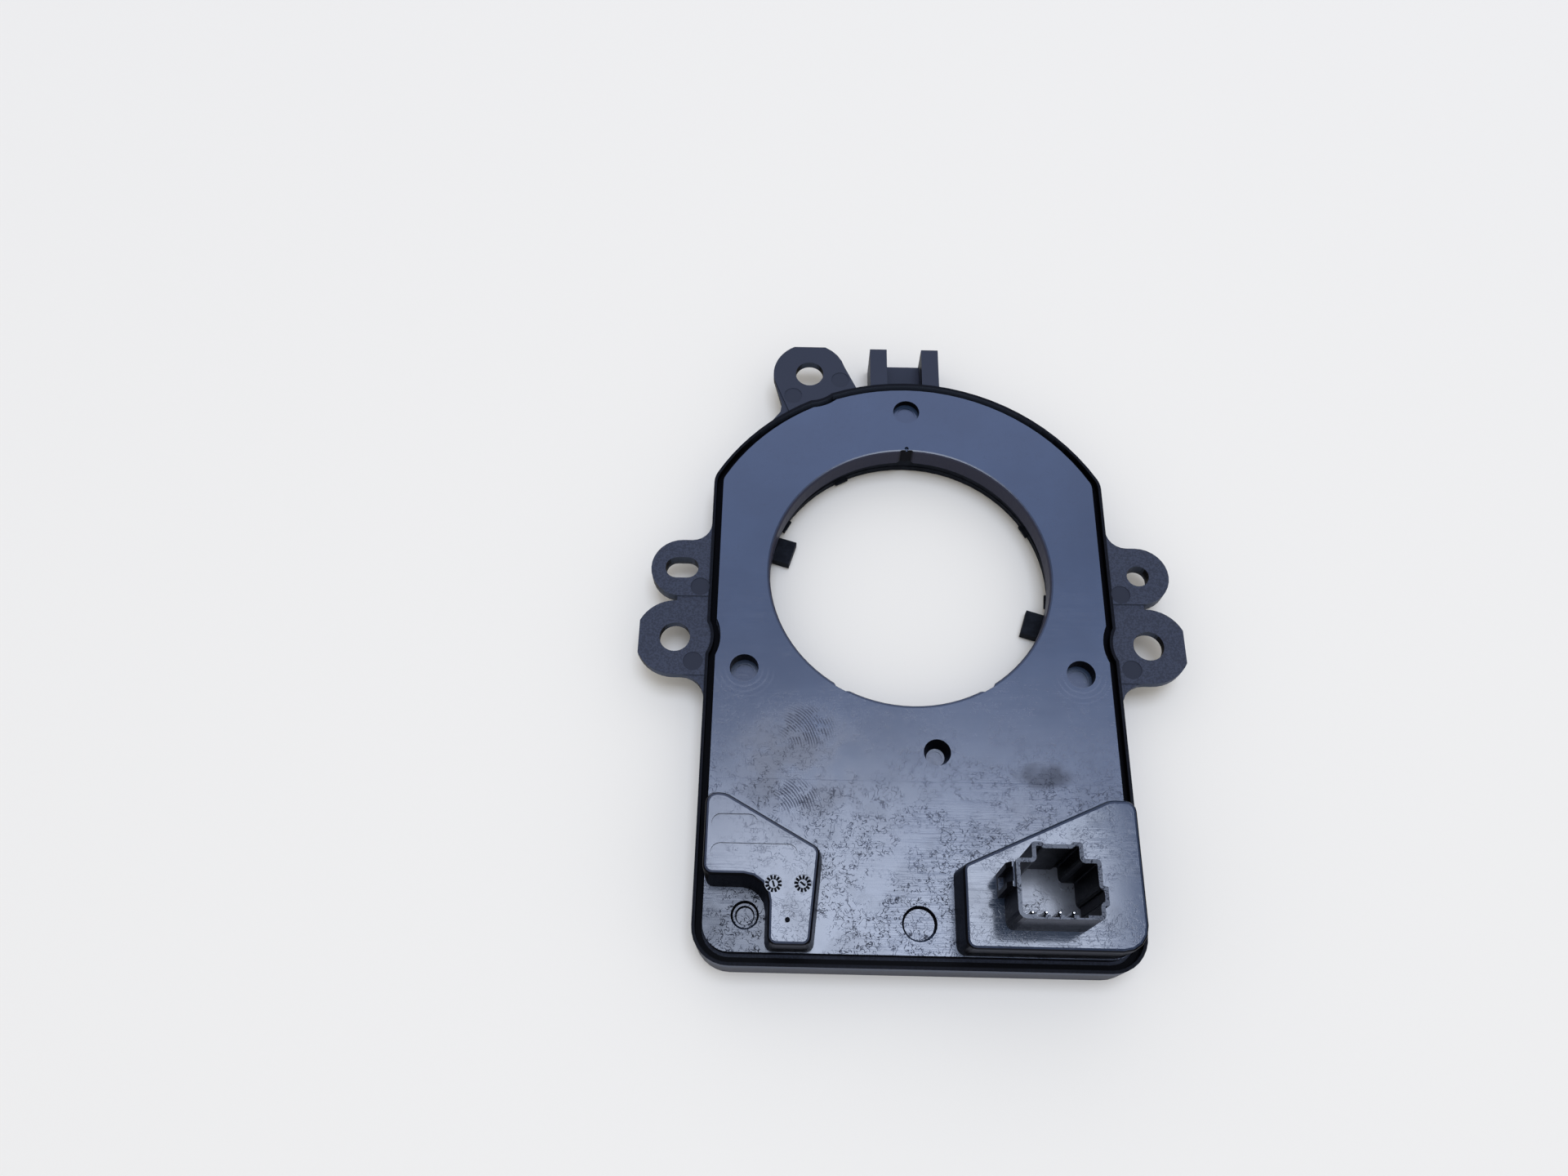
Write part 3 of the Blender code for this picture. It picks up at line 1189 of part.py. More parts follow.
def build():
    """Make every piece of the sensor."""
    looks = {name: material(name, *look) for name, look in LOOKS.items()}
    chip, metal = looks["chip_plastic"], looks["can_metal"]
    housing_base(looks["black_plastic"])
    housing_cover(looks["black_plastic"])
    rotor_ring(looks["ring_plastic"])
    circuit_board(looks["board"])
    for key in GEAR_TEETH:
        measuring_gear(key, looks["pale_gear_plastic"])
        gear_magnet(key, looks["magnet"])
        board_component(f"sensor_chip_{key}", gear_centre(key), SENSOR_CHIP, chip, below=True)
        buffer_capacitor(key, metal)
    board_component("microcontroller", on_board(CONTROLLER_PLACE), CONTROLLER, chip, below=True)
    board_component("bus_transceiver", on_board(TRANSCEIVER_PLACE), TRANSCEIVER, chip, below=True)
    board_component("voltage_regulator", on_board(REGULATOR_PLACE), REGULATOR, chip, below=True)
    board_component("timing_crystal", on_board(CRYSTAL_PLACE), CRYSTAL, metal, below=True)
    board_component("filter_choke", from_walls(-1, CHOKE_PLACE), CHOKE, looks["ferrite"])
    board_component("protection_diode", from_walls(1, DIODE_PLACE), DIODE, chip)
    for i, place in enumerate(CERAMIC_PLACES):
        name = f"ceramic_capacitor_{i + 1}"
        board_component(name, on_board(place), CERAMIC, looks["ceramic"], below=True)
    for i, place in enumerate(contact_places()):
        contact_pin(i, place, looks["tinned_contact"])
    for piece in PARTS.objects:
        for modifier in piece.modifiers:
            modifier.show_viewport = True


build()
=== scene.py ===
# %% [markdown]
# # A steering angle sensor in black moulded plastic
# The part is a flat box round a large bore. A shaft turns the ring in the bore, two small gears
# count its turns, and a socket with four contacts gives the angle to the car.
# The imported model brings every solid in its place, so this lesson is about finishes, light and the
# few small pieces that a solid model leaves plain.

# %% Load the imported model
import functools
import math

import bpy
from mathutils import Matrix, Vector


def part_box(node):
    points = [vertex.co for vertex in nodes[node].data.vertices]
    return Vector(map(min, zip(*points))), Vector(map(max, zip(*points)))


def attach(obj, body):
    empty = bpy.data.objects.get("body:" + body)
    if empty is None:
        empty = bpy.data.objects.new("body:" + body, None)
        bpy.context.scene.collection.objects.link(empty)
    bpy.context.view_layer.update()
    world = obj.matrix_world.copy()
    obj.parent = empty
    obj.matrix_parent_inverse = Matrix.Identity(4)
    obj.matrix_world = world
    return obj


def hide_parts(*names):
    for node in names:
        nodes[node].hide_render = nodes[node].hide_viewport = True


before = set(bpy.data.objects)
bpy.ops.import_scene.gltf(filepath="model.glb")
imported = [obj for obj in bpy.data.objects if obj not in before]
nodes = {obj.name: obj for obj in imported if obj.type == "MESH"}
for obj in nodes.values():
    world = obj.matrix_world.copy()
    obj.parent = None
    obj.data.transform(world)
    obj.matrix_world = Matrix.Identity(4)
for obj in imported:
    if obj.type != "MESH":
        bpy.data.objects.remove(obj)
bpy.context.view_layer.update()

# %% [markdown]
# ## The camera
# The picture was taken from above the near end, tilted a little towards the fork. A camera could be
# aimed at a target, but a target hides the roll that a hand-held camera has. Here its place and its
# three turns are given as they were found from the outline of the part.

# %% Place the camera
CAMERA_PLACE = (-0.02432, -0.09477, 0.22988)
CAMERA_TURNS = (24.797, -0.117, 1.206)
LENS = 27.06
SENSOR = 36.0
CLIP_START = 0.01

camera = bpy.data.objects.new("camera", bpy.data.cameras.new("camera"))
bpy.context.scene.collection.objects.link(camera)
camera.data.lens = LENS
camera.data.sensor_width = SENSOR
camera.data.clip_start = CLIP_START
camera.location = CAMERA_PLACE
camera.rotation_euler = [math.radians(turn) for turn in CAMERA_TURNS]
bpy.context.scene.camera = camera
print("camera", round(camera.location.z * 1000), "mm above the table")

# %% [markdown]
# ## Shader sums written as Python
# Every finish here is worked out from the place on the part, with a good deal of arithmetic. Linking
# Math nodes by hand is slow to write and to read, so a small class wraps a socket and turns the
# usual signs into nodes. One method makes every other node.


# %% Values that vary over a surface
class Field:
    """A value that varies over a surface. Its sums are nodes of the finish that it belongs to."""

    def __init__(self, finish, socket):
        self.finish = finish
        self.socket = socket

    def math(self, operation, *values):
        return self.finish.node("ShaderNodeMath", {"operation": operation}, dict(enumerate(values)))

    def __add__(self, other):
        return self.math("ADD", self, other)

    def __sub__(self, other):
        return self.math("SUBTRACT", self, other)

    def __rsub__(self, other):
        return self.math("SUBTRACT", other, self)

    def __mul__(self, other):
        return self.math("MULTIPLY", self, other)

    def __abs__(self):
        return self.math("ABSOLUTE", self)

    __radd__ = __add__
    __rmul__ = __mul__

    def most(self, other):
        return self.math("MAXIMUM", self, other)

    def least(self, other):
        return self.math("MINIMUM", self, other)

    def fade(self, start, end):
        """Smooth step that is 0 at start and 1 at end."""
        return self.finish.node("ShaderNodeMapRange", {"interpolation_type": "SMOOTHSTEP"}, {
            "Value": self, "From Min": start, "From Max": end})


def largest(fields):
    """The largest of several fields, place by place."""
    return functools.reduce(Field.most, fields)


def total(fields):
    """The sum of several fields."""
    return functools.reduce(Field.__add__, fields)


print("sums ready")

# %% A finish with one method for any node
MICROMETRE = 1e-6
WAVE_PERIOD = math.pi / 10


class Finish:
    """A material whose Principled shader is fed by fields."""

    def __init__(self, name, **settings):
        self.material = bpy.data.materials.new(name)
        self.material.use_nodes = True
        self.tree = self.material.node_tree
        self.shader = self.tree.nodes["Principled BSDF"]
        self.settle(settings)

    def settle(self, settings):
        """Set plain values on the shader."""
        for socket, value in settings.items():
            self.set(socket.replace("_", " "), value)

    def beside(self, factor, **settings):
        """Start a second shader that shows where the factor is 0; the first keeps the rest."""
        first, self.shader = self.shader, self.tree.nodes.new("ShaderNodeBsdfPrincipled")
        self.settle(settings)
        mix = self.tree.nodes.new("ShaderNodeMixShader")
        self.feed(mix.inputs["Fac"], factor)
        self.tree.links.new(self.shader.outputs[0], mix.inputs[1])
        self.tree.links.new(first.outputs[0], mix.inputs[2])
        self.tree.links.new(mix.outputs[0], self.tree.nodes["Material Output"].inputs["Surface"])

    def set(self, socket, value):
        """Link a field to a socket of the shader, or set a plain value on it."""
        self.feed(self.shader.inputs[socket], value)

    def feed(self, socket, value):
        """Link a field to any socket, or set a plain value on it."""
        if isinstance(value, Field):
            self.tree.links.new(value.socket, socket)
        elif socket.type == "RGBA" and len(value) == 3:
            socket.default_value = (*value, 1.0)
        else:
            socket.default_value = value

    def node(self, kind, settings=None, inputs=None, output=0):
        """Make a node: its settings first, then the values or links of its sockets."""
        made = self.tree.nodes.new(kind)
        for key, value in (settings or {}).items():
            setattr(made, key, value)
        for key, value in (inputs or {}).items():
            self.feed(made.inputs[key], value)
        return Field(self, made.outputs[output])

    def place(self):
        """Place on the piece, in metres."""
        return self.node("ShaderNodeTexCoord", output="Object")

    def parts(self, vector):
        """The x, y and z of a vector."""
        split = self.tree.nodes.new("ShaderNodeSeparateXYZ")
        self.feed(split.inputs[0], vector)
        return [Field(self, socket) for socket in split.outputs]

    def facing(self):
        """The x, y and z of the way a face looks. The last is 1 on top, 0 on a wall, -1 underneath."""
        return self.parts(self.node("ShaderNodeTexCoord", output="Normal"))

    def moved(self, vector, centre):
        """Place measured from a centre that is given as x and y."""
        return self.node("ShaderNodeVectorMath", {"operation": "SUBTRACT"}, {
            0: vector, 1: (*centre, 0.0)})

    def stretched(self, vector, turn, along, across):
        """Place turned about Z by degrees, then scaled along and across."""
        return self.node("ShaderNodeMapping", None, {
            "Vector": vector, "Rotation": (0.0, 0.0, math.radians(turn)),
            "Scale": (along, across, across)})

    def noise(self, vector, scale, detail=2.0, roughness=0.5, distortion=0.0):
        """Cloudy field from 0 to 1. The scale is in clouds a metre."""
        return self.node("ShaderNodeTexNoise", None, {
            "Vector": vector, "Scale": scale, "Detail": detail, "Roughness": roughness,
            "Distortion": distortion})

    def rings(self, vector, pitch, waver):
        """Round waves about Z, a pitch apart in metres, with the settings of how they waver."""
        return self.node("ShaderNodeTexWave", {"wave_type": "RINGS", "rings_direction": "Z"}, {
            "Vector": vector, "Scale": WAVE_PERIOD / pitch, **waver}, "Fac")

    def blend(self, low, high, factor):
        """Colour between two colours. The sockets of a Mix node are told apart by identifier."""
        mix = self.tree.nodes.new("ShaderNodeMix")
        mix.data_type = "RGBA"
        sockets = {socket.identifier: socket for socket in mix.inputs}
        self.feed(sockets["Factor_Float"], factor)
        self.feed(sockets["A_Color"], low)
        self.feed(sockets["B_Color"], high)
        return Field(self, next(s for s in mix.outputs if s.identifier == "Result_Color"))

    def relief(self, height):
        """Bump from a height in micrometres."""
        bump = self.node("ShaderNodeBump", None, {
            "Height": height, "Distance": MICROMETRE, "Strength": 1.0})
        self.set("Normal", bump)
        return bump


def shade(tone, share):
    """Tone made darker, or paler with a share above 1."""
    return tuple(share * part for part in tone)


print("finish ready")

# %% [markdown]
# ## Marks that handling leaves
# The cover has been handled: fine streaks from wiping, specks of dried oil, two fingerprints and a
# smudge, while clouds make its painted top sheen paler in places. Each is a mask from 0 to 1 worked
# out from the place on the part. A painted image would be quicker, but it blurs close up; a
# worked-out mask stays sharp at any distance.
# A pair whose name ends in EDGE says where a mask starts and where it is full. The numbers of a
# NOISE are its scale in clouds a metre, where the text doesn't give that, its detail and roughness.

# %% Streaks and dried oil
MEAN = 0.5
STREAK_NOISE, STREAK_SOFT = (1.0, 1.0), 0.08
STREAK_PATCH_NOISE, STREAK_PATCH_EDGE = (60.0, 1.0), (0.40, 0.60)
HAIRLINE_NOISE, HAIRLINE_EDGE = (1.0, 0.5, 0.7), (0.026, 0.008)
GROUP_SPREAD, GROUP_NOISE, GROUP_SOFT = 0.5, (2.0, 0.6), 0.06


def streaks(finish, place, turn, length, width, share):
    """Fine straight streaks of a given length and width in metres."""
    lines = finish.noise(finish.stretched(place, turn, 1 / length, 1 / width), *STREAK_NOISE)
    patches = finish.noise(place, *STREAK_PATCH_NOISE)
    return lines.fade(share, share + STREAK_SOFT) * patches.fade(*STREAK_PATCH_EDGE)


def crackle(finish, place, size, share):
    """Short crooked hairlines of dried oil, a given size apart in metres."""
    lines = abs(finish.noise(place, 1 / size, *HAIRLINE_NOISE) - MEAN).fade(*HAIRLINE_EDGE)
    groups = finish.noise(place, GROUP_SPREAD / size, *GROUP_NOISE)
    return lines * groups.fade(share, share + GROUP_SOFT)


print("streaks and dried oil ready")

# %% Patches, fingerprints and flow rings
PATCH_EDGE = (1.0, 0.15)
RIDGE_PITCH = 0.00052
RIDGE_OFFSET = (0.007, 0.005)
RIDGE_WAVER = {"Distortion": 3.0, "Detail": 1.0, "Detail Scale": 0.35}
RIDGE_EDGE = (0.40, 0.70)
PRINT_NOISE, PRINT_EDGE = (520.0, 2.0, 0.6), (0.38, 0.52)
PRINT_RATIO = 1.25
ARC_PITCH = 0.0011
ARC_REACH = 0.0078
ARC_WAVER = {"Distortion": 0.8, "Detail": 1.0}
ARC_EDGE = (0.55, 0.95)
ARC_SIDE_EDGE = (0.001, -0.003)


def patch(finish, place, centre, reach, turn=0.0, ratio=1.0):
    """Soft patch round a centre, 1 in its middle and 0 at its reach."""
    flat = finish.stretched(finish.moved(place, centre), turn, 1 / reach, ratio / reach)
    x, y, _ = finish.parts(flat)
    return (x * x + y * y).fade(*PATCH_EDGE)


def fingerprint(finish, place, centre, reach, turn):
    """Curved ridges of a fingertip, worn away in places."""
    ridge_centre = [middle - offset for middle, offset in zip(centre, RIDGE_OFFSET)]
    ridges = finish.rings(finish.moved(place, ridge_centre), RIDGE_PITCH, RIDGE_WAVER)
    worn = finish.noise(place, *PRINT_NOISE).fade(*PRINT_EDGE)
    return ridges.fade(*RIDGE_EDGE) * worn * patch(finish, place, centre, reach, turn, PRINT_RATIO)


def flow_arcs(finish, place, centre):
    """Faint rings where the plastic flowed round a core, 1 on a ring and 0 between rings."""
    offset = finish.moved(place, centre)
    rings = finish.rings(offset, ARC_PITCH, ARC_WAVER)
    _, y, _ = finish.parts(offset)
    return rings.fade(*ARC_EDGE) * patch(finish, place, centre, ARC_REACH) * y.fade(*ARC_SIDE_EDGE)


print("patches, fingerprints and flow rings ready")

# %% [markdown]
# ## The cover's gloss
# The cover is black plastic from a polished mould. Seen from above it looks slate blue, because its
# flat tops mirror the pale ceiling, while every wall and fillet stays almost black. One gloss for
# the whole cover would grey the walls. So two shaders are mixed by the way a face looks: a glossy
# one for the tops, whose slate-blue tone is a painted sheen that stands for the mirrored ceiling,
# and a dull black one for the rest. Waves, streaks and dried oil break the mirror on top.

# %% Places of the cover's forms
# Each pair says where along x, y or z a mask starts and where it is full, in metres.
NEAR_Y = (-0.008, -0.058)
PAD_Z, SOCKET_Z = (0.0150, 0.0170), (0.0195, 0.0185)
FLOOR_FROM_Z, FLOOR_TO_Z = (0.0120, 0.0125), (0.0145, 0.0140)
PLATE_Z = (0.0092, 0.0095)
SOCKET_RIM_Z = (0.0295, 0.0305)
# PAD_HIGHLIGHT_X spreads a painted highlight over the pad tops, full on the left pad.
PAD_HIGHLIGHT_X = (0.030, -0.010)
# RIGHT_PAD_X marks the right pad, which gets painted shade, a smoother gloss and calmer waves; RECESS_X
# and RECESS_Y place painted shade in the near-left corner recess.
RIGHT_PAD_X = (-0.005, 0.004)
RECESS_X, RECESS_Y = (-0.024, -0.025), (-0.0530, -0.0538)
# SOCKET_FRONT and PAD_FRONT place a painted sheen on the upper near walls of the socket and pads;
# BORE_INSIDE and BORE_OUTSIDE bound a painted sheen on the bore's wall.
SOCKET_FRONT_Z, SOCKET_FRONT_Y = (0.0235, 0.0290), (-0.0605, -0.0612)
PAD_FRONT_Z, PAD_FRONT_Y = (0.0130, 0.0165), (-0.0640, -0.0650)
BORE_Y = 0.01111
BORE_INSIDE, BORE_OUTSIDE = 0.0291, 0.0296
print("cover: tops of the pads from", PAD_Z[0] * 1000, "mm up, bore's axis at y", BORE_Y * 1000, "mm")

# %% Places of the marks
# Dried oil: size, threshold. Wipes: turn, length, width, threshold. Prints and patches: centre,
# reach, turn and, for a patch, the ratio of its length to its width.
OIL = ((0.0012, 0.46), (0.0007, 0.50))
WIPES = (
    (4.0, 0.014, 0.00026, 0.58), (84.0, 0.010, 0.00024, 0.58),
    (62.0, 0.007, 0.00020, 0.60), (-38.0, 0.006, 0.00018, 0.60))
PRINTS = (((-0.0209, -0.0224), 0.0066, 30.0), ((-0.0228, -0.0366), 0.0052, 20.0))
SMUDGE = ((0.0246, -0.0316), 0.0070, 33.0, 2.2)
GREASE = ((-0.0225, -0.0300), 0.0160, 70.0, 1.2)
ARC_CENTRES = ((0.0336, -0.0107), (-0.0336, -0.0107))
LINE_Y, LINE_WIDTH = -0.0333, 0.00014
print(len(OIL), "sizes of dried oil,", len(WIPES), "ways of wiping,", len(PRINTS), "prints")

# %% Masks of the cover
# OIL_FAR and WIPED_FAR say how much of the oil and of the wiping is left at the far end.
CLOUD_NOISE = (38.0, 4.0, 0.55)
FINE_NOISE = (120.0, 3.0, 0.6)
WORN_NOISE, WORN_EDGE = (130.0, 4.0, 0.62), (0.46, 0.64)
OIL_EDGE, OIL_FAR, OIL_OFF_PADS = (0.36, 0.54), 0.08, 0.7
WIPED_FAR = 0.25
SMUDGE_EDGE = (0.30, 0.56)
LINE_EDGE = (0.36, 0.48)
GREASE_EDGE = (0.35, 0.62)


def cover_masks(finish, place):
    """Masks of the cover's forms, of the marks on it and of its painted highlight and shade."""
    x, y, z = finish.parts(place)
    near = y.fade(*NEAR_Y)
    pads = z.fade(*PAD_Z) * z.fade(*SOCKET_Z)
    cloud = finish.noise(place, *CLOUD_NOISE)
    fine = finish.noise(place, *FINE_NOISE)
    oil = largest(crackle(finish, place, *sort) for sort in OIL)
    oil = oil * fine.fade(*OIL_EDGE) * (near * (1.0 - OIL_FAR) + OIL_FAR) * (1.0 - pads * OIL_OFF_PADS)
    wiped = largest(streaks(finish, place, *wipe) for wipe in WIPES)
    line = y.fade(LINE_Y - LINE_WIDTH, LINE_Y) * y.fade(LINE_Y + LINE_WIDTH, LINE_Y)
    arcs = largest(flow_arcs(finish, place, centre) for centre in ARC_CENTRES)
    return {
        "pad_haze": pads * x.fade(*PAD_HIGHLIGHT_X),
        "right_pad": pads * x.fade(*RIGHT_PAD_X),
        "recess": (x.fade(*RECESS_X) * y.fade(*RECESS_Y)) * (1.0 - pads),
        "floor": z.fade(*FLOOR_FROM_Z) * z.fade(*FLOOR_TO_Z),
        "rim": z.fade(*SOCKET_RIM_Z),
        "cloud": cloud,
        "oil": oil,
        "wiped": wiped * (near * (1.0 - WIPED_FAR) + WIPED_FAR),
        "prints": largest(fingerprint(finish, place, *fingertip) for fingertip in PRINTS),
        "smudge": patch(finish, place, *SMUDGE) * fine.fade(*SMUDGE_EDGE),
        "grease": patch(finish, place, *GREASE) * fine.fade(*GREASE_EDGE) * (1.0 - pads),
        "line": line * cloud.fade(*LINE_EDGE) * (1.0 - pads),
        "arcs": arcs * z.fade(*PLATE_Z),
        "worn": finish.noise(place, *WORN_NOISE).fade(*WORN_EDGE) * near}


print("masks of the cover ready")

# %% Finish of the cover
# ROUGHENS says how much each mask adds to the roughness, and DIMS how much it takes from the
# mirror and its painted top sheen; on the right pad and in the corner recess this is painted shade.
# WAVES holds each noise of the relief with its height in micrometres.
PLASTIC_IOR, WALL_IOR = 1.5, 1.07
COVER_SPECULAR = 1.0
WALL_ROUGHNESS = 0.28
LOOKS_UP = (0.93, 0.998)
# Far-facing walls show the top shader and its painted sheen at BACK_SHEEN.
LOOKS_FAR, BACK_SHEEN = (0.20, 0.80), 0.60
LOOKS_NEAR = (-0.60, -0.95)
BLACK = (0.0030, 0.0032, 0.0045)
# TOP_SHEEN is a painted sheen: the slate-blue tone that the mirrored ceiling gives the tops.
TOP_SHEEN = (0.016, 0.031, 0.064)
PALE_TOP_SHEEN, PALE_EDGE = shade(TOP_SHEEN, 1.35), (0.35, 0.70)
# PAD_HIGHLIGHT is a painted highlight on the pad tops, strongest on the left.
PAD_HIGHLIGHT = (0.034, 0.046, 0.074)
# FLOOR_HIGHLIGHT is a painted highlight on the floor of the socket.
FLOOR_HIGHLIGHT = (0.150, 0.165, 0.200)
GREASE_TONE, GREASE_SHARE = (0.050, 0.052, 0.058), 0.75
SMUDGE_TONE, SMUDGE_SHARE = shade(TOP_SHEEN, 0.35), 0.85
GRIME, PRINT_GRIME = (0.003, 0.003, 0.005), 0.6
# SHEEN is a painted sheen on the upper near walls of the socket and, at PAD_SHEEN, of the pads;
# BORE_WALL_SHEEN is a painted sheen on the bore's wall.
SHEEN, PAD_SHEEN = (0.060, 0.066, 0.088), 0.7
BORE_WALL_SHEEN = (0.040, 0.042, 0.066)
ROUGHNESS, MOST_ROUGHNESS = 0.17, 0.7
ROUGHENS = {
    "cloud": 0.08, "wiped": 0.10, "oil": 0.35, "prints": 0.25, "smudge": 0.18, "grease": 0.14,
    "line": 0.16, "arcs": 0.07, "right_pad": -0.11}
# The right_pad and recess entries of DIMS are painted shade; the others are real marks that dull the
# gloss.
DIMS = {"right_pad": 0.12, "recess": 0.38, "smudge": 0.30, "oil": 0.45, "prints": 0.25, "worn": 0.14}
# The socket's rim shows less of the painted top sheen.
RIM_DIMS = 0.55
WAVES = (((75.0, 2.0, 0.5), 34.0), ((260.0, 2.0, 0.5), 5.0), ((1900.0, 2.0, 0.6), 1.2))
WIPE_DEPTH, OIL_DEPTH, PRINT_DEPTH = 1.6, 16.0, 5.0
RIGHT_PAD_CALM = 0.6


def cover_finish():
    """Glossy tops with a painted sheen, streaks, prints and dried oil, and black walls with painted
    sheen in places.
    """
    finish = Finish("glossy_cover", IOR=PLASTIC_IOR, Specular_IOR_Level=COVER_SPECULAR)
    place = finish.place()
    x, y, z = finish.parts(place)
    _, toward_far, up = finish.facing()
    top = up.fade(*LOOKS_UP)
    masks = cover_masks(finish, place)
    # The tops' tone is painted sheen, paler under clouds, with painted highlights on the pads and the
    # socket floor; grease, smudge and dried oil are real marks.
    tone = finish.blend(TOP_SHEEN, PALE_TOP_SHEEN, masks["cloud"].fade(*PALE_EDGE))
    tone = finish.blend(tone, PAD_HIGHLIGHT, masks["pad_haze"])
    tone = finish.blend(tone, FLOOR_HIGHLIGHT, masks["floor"] * top)
    tone = finish.blend(tone, GREASE_TONE, masks["grease"] * GREASE_SHARE)
    tone = finish.blend(tone, SMUDGE_TONE, masks["smudge"] * SMUDGE_SHARE)
    tone = finish.blend(tone, GRIME, masks["oil"].most(masks["prints"] * PRINT_GRIME).least(1.0))
    finish.set("Base Color", tone)
    rough = sum((masks[name] * amount for name, amount in ROUGHENS.items()), ROUGHNESS)
    finish.set("Roughness", rough.least(MOST_ROUGHNESS))
    waves = total(finish.noise(place, *noise) * height for noise, height in WAVES)
    height = (waves - masks["wiped"] * WIPE_DEPTH) * (1.0 - masks["right_pad"] * RIGHT_PAD_CALM)
    bump = finish.relief(height - masks["oil"] * OIL_DEPTH - masks["prints"] * PRINT_DEPTH)
    bright = 1.0
    for name, amount in DIMS.items():
        bright = bright - masks[name] * amount
    bright = bright * (1.0 - masks["rim"] * RIM_DIMS)
    # Tops show the glossy shader with its painted sheen, less where marks dull it and where painted
    # shade falls; far-facing walls show it too, as painted sheen.
    shown = (top * bright).most(toward_far.fade(*LOOKS_FAR) * BACK_SHEEN)
    finish.beside(shown, IOR=WALL_IOR, Roughness=WALL_ROUGHNESS)
    # Painted sheen on the walls: the upper near walls of the socket and pads, and the bore's wall.
    socket_front = z.fade(*SOCKET_FRONT_Z) * y.fade(*SOCKET_FRONT_Y)
    pad_front = z.fade(*PAD_FRONT_Z) * y.fade(*PAD_FRONT_Y) * PAD_SHEEN
    front = toward_far.fade(*LOOKS_NEAR) * socket_front.most(pad_front)
    from_axis = x * x + (y - BORE_Y) * (y - BORE_Y)
    tone = finish.blend(BLACK, BORE_WALL_SHEEN, from_axis.fade(BORE_OUTSIDE ** 2, BORE_INSIDE ** 2))
    finish.set("Base Color", finish.blend(tone, SHEEN, front))
    finish.set("Normal", bump)
    return finish.material


cover_plastic = cover_finish()
print(cover_plastic.name, "has", len(cover_plastic.node_tree.nodes), "nodes")

# %% [markdown]
# ## The base's grain
# The lower shell comes from a mould with an eroded, finely grained face, so it has no mirror gloss.
# The paler slate tone of its ears and other tops is a painted sheen, darker towards the far end,
# while its walls stay near black with a painted sheen in places. Grain this small is a bump, not a mesh.

# %% Finish of the base
# GRAINED_TOP_SHEEN is a painted sheen: the paler slate tone of the upward faces.
GRAINED_TOP_SHEEN = (0.026, 0.034, 0.058)
# FAR_PAINTED_SHADE darkens the top sheen towards the far end, as painted shade.
GRAIN_SHADE, MARK_SHADE, FAR_PAINTED_SHADE = 0.50, 0.45, 0.60
FAR_PAINTED_SHADE_Y = (0.040, 0.056)
# Near-facing walls: WALL_SHEEN is a painted sheen above WALL_SHEEN_Z, and WALL_FOOT_SHADE a painted
# shade at the foot.
WALL_SHEEN = (0.060, 0.076, 0.118)
WALL_FOOT_SHADE = (0.020, 0.019, 0.029)
WALL_SHEEN_Z = (0.0025, 0.0065)
BASE_CLOUD_NOISE = (60.0, 3.0, 0.55)
GRAIN_NOISE, GRAIN_EDGE, GRAIN_HEIGHT = (2600.0, 2.0, 0.7), (0.42, 0.58), 22.0
BASE_WAVE_NOISE, BASE_WAVE_HEIGHT = (260.0, 2.0), 6.0
BASE_SPECULAR = 0.32
BASE_ROUGHNESS, CLOUD_ROUGHENS, MARK_ROUGHENS = 0.50, 0.12, 0.10
BASE_WALL_ROUGHNESS = 0.35
# The rim shows less of the painted top sheen; OUTSIDE_SHEEN and BACK_SHEEN give outer walls low down and
# far-facing walls a painted sheen.
BASE_RIM_Z, BASE_RIM_DIMS = (0.00918, 0.00930), 0.85
OUTSIDE_Z, OUTSIDE_SHEEN = (0.0074, 0.0066), 0.85
WEB_Z = (0.0076, 0.0086)
FORK_Y = (0.0578, 0.0584)
MARK_LOW, MARK_HIGH = 0.00893, 0.00903
MARK_EDGE, MARK_SMOOTHS = 0.00002, 18.0


